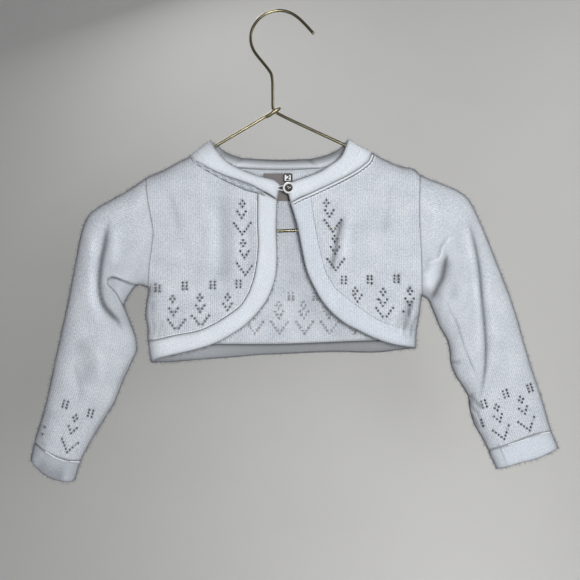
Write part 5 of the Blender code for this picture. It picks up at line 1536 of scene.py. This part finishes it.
# Lines of the tab's frame and of its numeral, and how wide they are. Columns: x, z
TAB_FRAME = [(4.8, -168.8), (12.6, -168.8), (12.6, -161.2), (4.8, -161.2), (4.8, -169.3)]
FRAME_STROKE = 1.8
BOW_CENTRE = (8.75, -163.9)
BOW_RADIUS = 1.35
BOW_FOOT = (7.6, -166.9)
NUMERAL_FOOT = [(7.0, -166.9), (10.6, -166.9)]
NUMERAL_STROKE = 1.2
INK_THICKNESS = 0.12


def slab(left, right, low, high, rear, thickness, corner):
    """Points and faces of a thin plate with round corners."""
    outline = []
    parts = CORNER_PARTS
    for x, z, first in ((right - corner, high - corner, 0), (left + corner, high - corner, 90),
                        (left + corner, low + corner, 180), (right - corner, low + corner, 270)):
        for k in range(parts + 1):
            turn = math.radians(first + 90 * k / parts)
            outline.append((x + corner * math.cos(turn), z + corner * math.sin(turn)))
    count = len(outline)
    points, faces = [], []
    middle = np.mean(outline, axis=0)
    for y, inset in ((rear, 0.0), (rear - thickness * 0.7, 0.0), (rear - thickness, 0.12)):
        for x, z in outline:
            way = middle - (x, z)
            way = way / np.linalg.norm(way) * inset
            points.append((x + way[0], y, z + way[1]))
    for i in range(2):
        for k in range(count):
            m = (k + 1) % count
            faces.append((i * count + k, i * count + m, (i + 1) * count + m, (i + 1) * count + k)[::-1])
    faces.append(tuple(range(count)))
    faces.append(tuple(reversed(range(2 * count, 3 * count))))
    return points, faces


def strokes(lines, width, front):
    """Points and faces of flat printed strokes along lines of places (x, z)."""
    points, faces = [], []
    for line in lines:
        line = np.asarray(line, float)
        square = to_left(headings(line)) * width / 2
        start = len(points)
        for place, way in zip(line, square):
            for y in (front, front - INK_THICKNESS):
                points.append((place[0] + way[0], y, place[1] + way[1]))
                points.append((place[0] - way[0], y, place[1] - way[1]))
        for i in range(len(line) - 1):
            a = start + 4 * i
            b = a + 4
            faces += [(a + 2, a + 3, b + 3, b + 2), (a + 1, a, b, b + 1), (a, a + 2, b + 2, b),
                      (a + 3, a + 1, b + 1, b + 3)]
        end = start + 4 * (len(line) - 1)
        faces += [(start + 1, start + 3, start + 2, start), (end, end + 2, end + 3, end + 1)]
    return points, faces


def build_labels():
    """The bare label sewn into the back neck seam, and the size tab before it with a plain numeral."""
    plate = slab(*LABEL, LABEL_REAR, LABEL_THICKNESS, 0.6)
    mesh_piece("neck_label_satin", *plate, SATIN, "label", "neck_label")
    plate = slab(*TAB_BOX, TAB_REAR, LABEL_THICKNESS, 0.5)
    mesh_piece("size_tab_cloth", *plate, TAB, "size_tab", "size_label")
    front = TAB_REAR - LABEL_THICKNESS - 0.02
    sides = [[a, b] for a, b in zip(TAB_FRAME[:-1], TAB_FRAME[1:])]
    turns = np.radians(np.linspace(165, -35, 12))
    bow = [(BOW_CENTRE[0] + BOW_RADIUS * math.cos(t), BOW_CENTRE[1] + BOW_RADIUS * math.sin(t))
           for t in turns]
    points, faces = strokes(sides, FRAME_STROKE, front)
    more, loops = strokes([bow + [BOW_FOOT], NUMERAL_FOOT], NUMERAL_STROKE, front)
    faces += [tuple(k + len(points) for k in loop) for loop in loops]
    mesh_piece("size_tab_print", points + more, faces, INK, "size_tab", smoothed=False)


# Seams

def on_front(line, out):
    """Places in space on the front face along a line of places (x, z), moved out by this much."""
    places = outer_face(line[None], FRONT_CREASES)[0][0]
    places[:, 1] -= out
    return places


CHAIN_STEP = 0.5


def chain(name, line, radius, pitch, out, sway=0.0, waist=0.5, material=THREAD, depth=None):
    """Stitches along a line of places (x, z): a yarn that swells at each stitch and sways a little."""
    line = rounded_path(line, CHAIN_STEP)
    along = lengths(line)
    phase = 2 * math.pi * along / pitch
    line = line + to_left(headings(line)) * (sway * np.sin(phase))[:, None]
    places = on_front(line, out)
    if depth is not None:
        places[:, 1] = depth
    size = radius * (waist + (1 - waist) * np.abs(np.sin(phase / 2 + 0.6)) ** 0.7)
    mesh_piece(name, *rod(as_seen(places), size, 8), material, "knit")


# Lower edge of the strip that links the neckband to the right front. Columns: x, z
LINKING_FOOT = [(-88.8, -146.4), (-83.0, -151.5), (-75.7, -156.6), (-64.0, -163.2), (-53.3, -168.9),
                (-42.0, -174.4), (-31.3, -178.9), (-20.1, -181.6), (-11.0, -186.0)]
LINKING_ROWS = 90
LINKING_WALL = 0.6

# Lines across the ends of the neckband on the shoulders, and along the seams of the cuffs. Columns: x, z
RIGHT_RIDGE = [(-80.0, -139.4), (-76.0, -144.8), (-71.0, -150.0), (-66.2, -154.8)]
LEFT_RIDGE = [(82.2, -137.8), (77.6, -146.0), (71.4, -154.6), (63.8, -162.6)]
RIGHT_CUFF_LINE = [(-233.4, -439.6), (-224.0, -445.4), (-213.0, -449.2), (-199.6, -449.9)]
LEFT_CUFF_LINE = [(270.6, -420.2), (262.0, -422.0), (254.0, -425.0), (238.0, -430.2), (229.5, -432.8)]


def build_seams():
    """The linking strip and its stitches under the neckband's right half, and the other seams' stitches."""
    top = at_shares(smooth(RIGHT_NECK_SEAM), np.linspace(0.0, 0.985, LINKING_ROWS))
    foot = at_shares(smooth(LINKING_FOOT), np.linspace(0.0, 1.0, LINKING_ROWS))
    grid = band(top, foot)
    places, normals = outer_face(grid, FRONT_CREASES)
    swell = np.sin(np.pi * np.clip(from_edges(places, "r") / 4.0, 0.0, 0.5))
    places[..., 1] -= 0.15 + 0.75 * swell
    item = cloth("neck_linking", places, normals, edges_of(grid, ""), LINKING_WALL, grid,
                 along_and_across(grid), LINKING, edges="rtb", radius=0.5)
    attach(item, "root")
    middle = grid[:, grid.shape[1] // 2]
    chain("neck_stitches_right", middle[3:-3], 0.7, 9.5, 0.8, sway=1.1, waist=0.2, material=YARN)
    chain("neck_loops_right", middle[5:-3], 0.6, 9.5, 0.6, sway=-1.3, waist=0.3, material=YARN)
    chain("neck_painted_shadow_right", grid[2:-2, -1], 0.5, 3.2, 0.3, sway=0.2, material=PAINTED_SHADOW_YARN)
    left = join(LEFT["neck"], smooth(LEFT_LINES["neckband_foot"]))
    square = to_left(headings(left))
    chain("neck_stitches_left", (left + square * 1.3)[3:-2], 0.8, 3.0, 0.25, sway=0.15)
    chain("neck_shade_left", (left + square * 2.8)[3:-2], 0.7, 4.0, 0.0, sway=0.35, material=PAINTED_SHADOW_YARN)
    chain("neck_edge_left", (left + square * 4.0)[3:-2], 0.5, 3.0, 0.0, sway=0.2)
    raised = BAND_RISE + 0.1
    for name, line, radius, out, waist in (("neck_ridge_right", RIGHT_RIDGE, 0.5, raised, 0.8),
                                           ("neck_ridge_left", LEFT_RIDGE, 0.5, raised, 0.8),
                                           ("cuff_stitches_right", RIGHT_CUFF_LINE, 0.62, 0.1, 0.7),
                                           ("cuff_stitches_left", LEFT_CUFF_LINE, 0.55, 0.1, 0.7)):
        chain(name, smooth(line), radius, 2.4, out, sway=0.1, waist=waist)
    behind = [(x, z) for x, z in BACK_NECK if abs(x) < 46.0]
    chain("back_neck_stitches", np.array(behind) - (0.0, 1.4), 0.5, 2.3, 0.0, waist=0.15, material=YARN,
          depth=7.9)
    seam = join(smooth(RIGHT_LINES["band_down"]), smooth(RIGHT_LINES["band_hem"])[::-1])
    beside = seam - to_left(headings(seam)) * 0.9
    chain("band_stitches_right", beside[4:-4], 0.6, 3.0, 0.05, sway=0.12)
    return item


# Fibres

# Free edges with stray fibres. Columns: edge, a place inside the cloth, depth
FREE_EDGES = [
    (RIGHT_FRONT_EDGE, (-85.0, -235.0), -10.2), (LEFT_FRONT_EDGE, (90.0, -235.0), -10.2),
    (BACK_HEM_EDGE, (0.0, -200.0), 15.0), (RIGHT_CUFF_EDGE, (-195.0, -380.0), 0.0),
    (LEFT_CUFF_EDGE, (215.0, -380.0), 0.0), (BACK_NECKBAND_EDGE, (0.0, -400.0), 13.0),
    (RIGHT_NECKBAND_EDGE, (-60.0, -220.0), -9.0), (LEFT_NECKBAND_EDGE, (60.0, -220.0), -9.0),
]
# Stray fibres: how many to a millimetre, the longest, their width, and the seeds of their roots and bends
EDGE_HAIRS = 5.5
EDGE_HAIR_LENGTH = 4.4
EDGE_HAIR_WIDTH = 0.22
EDGE_ROOT_SEED = 77
EDGE_BEND_SEED = 78
HAIR_WIDTH = 0.12
# How steeply the fibres of the faces stand up
HAIR_LIFT = 0.55


def build_edge_fuzz():
    """Stray fibres that stand out from every fold and free edge of the cloth."""
    random = np.random.default_rng(EDGE_ROOT_SEED)
    roots, ways = [], []
    edges = [(line, None, side, 0.0) for line, side in FOLD_LINES]
    edges += [(smooth(line), inner, 1.0, depth) for line, inner, depth in FREE_EDGES]
    for line, inner, side, depth in edges:
        count = int(lengths(line)[-1] * EDGE_HAIRS)
        share = random.random(count)
        at = at_shares(line, share)
        ahead = at_shares(np.gradient(line, axis=0), share)
        ahead /= np.linalg.norm(ahead, axis=1, keepdims=True)
        out = side * np.stack([ahead[:, 1], -ahead[:, 0]], axis=1)
        if inner is not None:
            out *= np.sign(((at - inner) * out).sum(axis=1))[:, None]
        way = out + ahead * random.normal(0.0, 0.8, count)[:, None]
        calm = np.clip(np.minimum(share, 1 - share) * 12, 0.0, 1.0)
        deep = depth * (0.25 + 0.75 * calm) + random.uniform(-1.2, 1.2, count)
        at = at - 0.3 * out
        roots.append(np.stack([at[:, 0], deep, at[:, 1]], axis=1))
        ways.append(np.stack([way[:, 0], random.normal(0.0, 0.4, count), way[:, 1]], axis=1))
    roots = as_seen(np.vstack(roots))
    sizes = EDGE_HAIR_LENGTH * random.uniform(0.15, 1.0, len(roots)) ** 1.8
    hairs("edge_fuzz_painted_shade", roots, np.vstack(ways), sizes, EDGE_BEND_SEED, EDGE_HAIR_WIDTH, PAINTED_SHADE_FIBRE)


def hairs(name, roots, ways, sizes, seed, width=HAIR_WIDTH, material=HAIR):
    """Fine bent fibres as one mesh: a root pair, a middle pair and a tip for each."""
    random = np.random.default_rng(seed)
    ways = ways / np.linalg.norm(ways, axis=1, keepdims=True)
    side = np.cross(ways, random.normal(size=ways.shape))
    side /= np.linalg.norm(side, axis=1, keepdims=True)
    bend = np.cross(ways, side) * random.uniform(-0.5, 0.5, (len(ways), 1)) * sizes[:, None]
    bend[:, 2] -= 0.12 * sizes
    middle = roots + ways * sizes[:, None] * 0.55 + bend * 0.25
    tip = roots + ways * sizes[:, None] + bend
    half = side * width / 2
    points = np.stack([roots - half, roots + half, middle - half * 0.8, middle + half * 0.8, tip], axis=1)
    first = 5 * np.arange(len(ways))[:, None]
    quads = (first + np.array([0, 1, 3, 2])).tolist()
    tips = (first + np.array([2, 3, 4])).tolist()
    item = new_object(name, points.reshape(-1, 3), quads + tips, material)
    item.data.update()
    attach(item, "root")
    return item


def fuzz(piece, density, longest, seed):
    """Fibres all over the outer face of a sheet of cloth."""
    places, normals = FACES[piece]
    random = np.random.default_rng(seed)
    corner = places[:-1, :-1]
    cells = np.linalg.norm(np.cross(places[1:, :-1] - corner, places[:-1, 1:] - corner), axis=-1)
    share = cells.ravel() / cells.sum()
    count = int(cells.sum() * density)
    picked = random.choice(len(share), count, p=share)
    i, j = np.unravel_index(picked, cells.shape)
    s, t = random.random((2, count, 1))
    root = ((1 - s) * ((1 - t) * places[i, j] + t * places[i, j + 1])
            + s * ((1 - t) * places[i + 1, j] + t * places[i + 1, j + 1]))
    normal = normals[i, j]
    spread = random.normal(size=root.shape)
    spread -= normal * (spread * normal).sum(axis=1, keepdims=True)
    spread /= np.linalg.norm(spread, axis=1, keepdims=True)
    ways = normal * (HAIR_LIFT * random.uniform(0.3, 1.6, (count, 1))) + spread
    sizes = longest * random.uniform(0.25, 1.0, count) ** 1.6
    return hairs(piece + "_fuzz", root, ways, sizes, seed + 1)


# Scene

# The floor: its near edge, the start and size of its upward turn, its level, and the backdrop's top and
# sides
FLOOR_NEAR = -3200.0
SWEEP_START = 900.0
SWEEP = 700.0
SWEEP_PARTS = 16
FLOOR_LEVEL = -1250.0
BACKDROP_TOP = 2600.0
FLOOR_HALF_WIDTH = 3500.0
# Soft lamps. Columns: name, place and aim in metres, size in metres, watts, colour
LAMPS = [
    ("key", (0.14, -1.08, -0.25), (0.05, 0.0, -0.27), 0.20, 8.3, (0.965, 0.98, 1.0)),
    ("side", (1.0, -0.85, 0.15), (0.05, 0.0, -0.28), 0.45, 2.9, (0.95, 0.975, 1.0)),
    ("soft_left", (-1.6, -1.1, 0.7), (0.0, 0.0, -0.3), 1.0, 0.4, (0.96, 0.98, 1.0)),
    ("rear", (-0.4, 1.15, 1.0), (0.0, 0.0, -0.25), 0.7, 12.5, (1.0, 1.0, 1.0)),
    ("backdrop_side", (1.5, 0.4, 0.45), (0.2, 1.6, -0.2), 1.2, 9.8, (1.0, 0.995, 0.98)),
    ("backdrop_low", (0.55, 0.45, -1.02), (0.15, 1.6, -0.4), 0.7, 5.2, (1.0, 0.995, 0.975)),
]
WORLD_COLOUR = (0.93, 0.95, 1.0, 1.0)
WORLD_STRENGTH = 0.2
SENSOR = 36.0
CLIP_END = 50.0


def build_stage():
    """A plain pale floor that turns up into a backdrop, soft lights and the camera."""
    profile = [(FLOOR_NEAR, FLOOR_LEVEL), (SWEEP_START, FLOOR_LEVEL)]
    for k in range(1, SWEEP_PARTS + 1):
        turn = math.pi / 2 * k / SWEEP_PARTS
        profile.append((SWEEP_START + SWEEP * math.sin(turn), FLOOR_LEVEL + SWEEP - SWEEP * math.cos(turn)))
    profile.append((SWEEP_START + SWEEP, BACKDROP_TOP))
    points = [(x, y, z) for y, z in profile for x in (-FLOOR_HALF_WIDTH, FLOOR_HALF_WIDTH)]
    faces = [(2 * k, 2 * k + 1, 2 * k + 3, 2 * k + 2) for k in range(len(profile) - 1)]
    paint = plain("pale_paint", (0.56, 0.555, 0.54, 1.0), 0.95, specular=0.1, other=(0.60, 0.595, 0.58, 1.0),
                  scale=3.0)
    floor = new_object("floor", points, faces, paint)
    floor.data.polygons.foreach_set("use_smooth", [True] * len(faces))
    for name, place, aim, size, power, colour in LAMPS:
        data = bpy.data.lights.new(name, "AREA")
        data.shape = "DISK"
        data.size = size
        data.energy = power
        data.color = colour
        item = bpy.data.objects.new(name, data)
        item.location = place
        way = np.array(aim) - np.array(place)
        item.rotation_euler = Vector(way).to_track_quat("-Z", "Y").to_euler()
        bpy.context.scene.collection.objects.link(item)
    world = bpy.data.worlds.new("studio")
    world.use_nodes = True
    world.node_tree.nodes["Background"].inputs[0].default_value = WORLD_COLOUR
    world.node_tree.nodes["Background"].inputs[1].default_value = WORLD_STRENGTH
    bpy.context.scene.world = world
    bpy.context.scene.view_settings.view_transform = "Standard"
    data = bpy.data.cameras.new("camera")
    data.sensor_width = SENSOR
    data.lens = SENSOR * -EYE[1] / VIEW_WIDTH
    data.clip_end = CLIP_END
    camera = bpy.data.objects.new("camera", data)
    camera.location = np.array(EYE) * MM
    camera.rotation_euler = (math.radians(90), 0.0, 0.0)
    bpy.context.scene.collection.objects.link(camera)
    bpy.context.scene.camera = camera


# Fibres of the panels and sleeves, and of the bands. Columns: how many to a square millimetre, the longest
PANEL_FUZZ = (0.42, 3.2)
BAND_FUZZ = (0.9, 3.0)
FUZZ_SEED = 100
# Columns: half, lace of its front and of its sleeve, turn of the sleeve's lace, seed
HALVES = ((RIGHT, RIGHT_FRONT_LACE, RIGHT_SLEEVE_LACE, RIGHT_SLEEVE_TURN, 11),
          (LEFT, LEFT_FRONT_LACE, LEFT_SLEEVE_LACE, LEFT_SLEEVE_TURN, 21))


def main():
    build_stage()
    made = {"back": back(), "back_hem_band": back_hem_band(), "neckband": neckband()}
    for half, lace, sleeve_lace, turn, seed in HALVES:
        name = half["name"]
        made[name + "_front"] = front(half, lace, seed)
        made[name + "_front_band"] = front_band(half)
        made[name + "_sleeve"] = sleeve(half, sleeve_lace, turn, seed + 3)
        made[name + "_cuff"] = cuff(half)
    build_fastening()
    build_labels()
    build_hanger()
    linking = build_seams()
    build_edge_fuzz()
    for k, (node, item) in enumerate(made.items()):
        density, longest = BAND_FUZZ if node.endswith(("band", "cuff")) else PANEL_FUZZ
        down = fuzz(item.name, density, longest, FUZZ_SEED + k)


main()
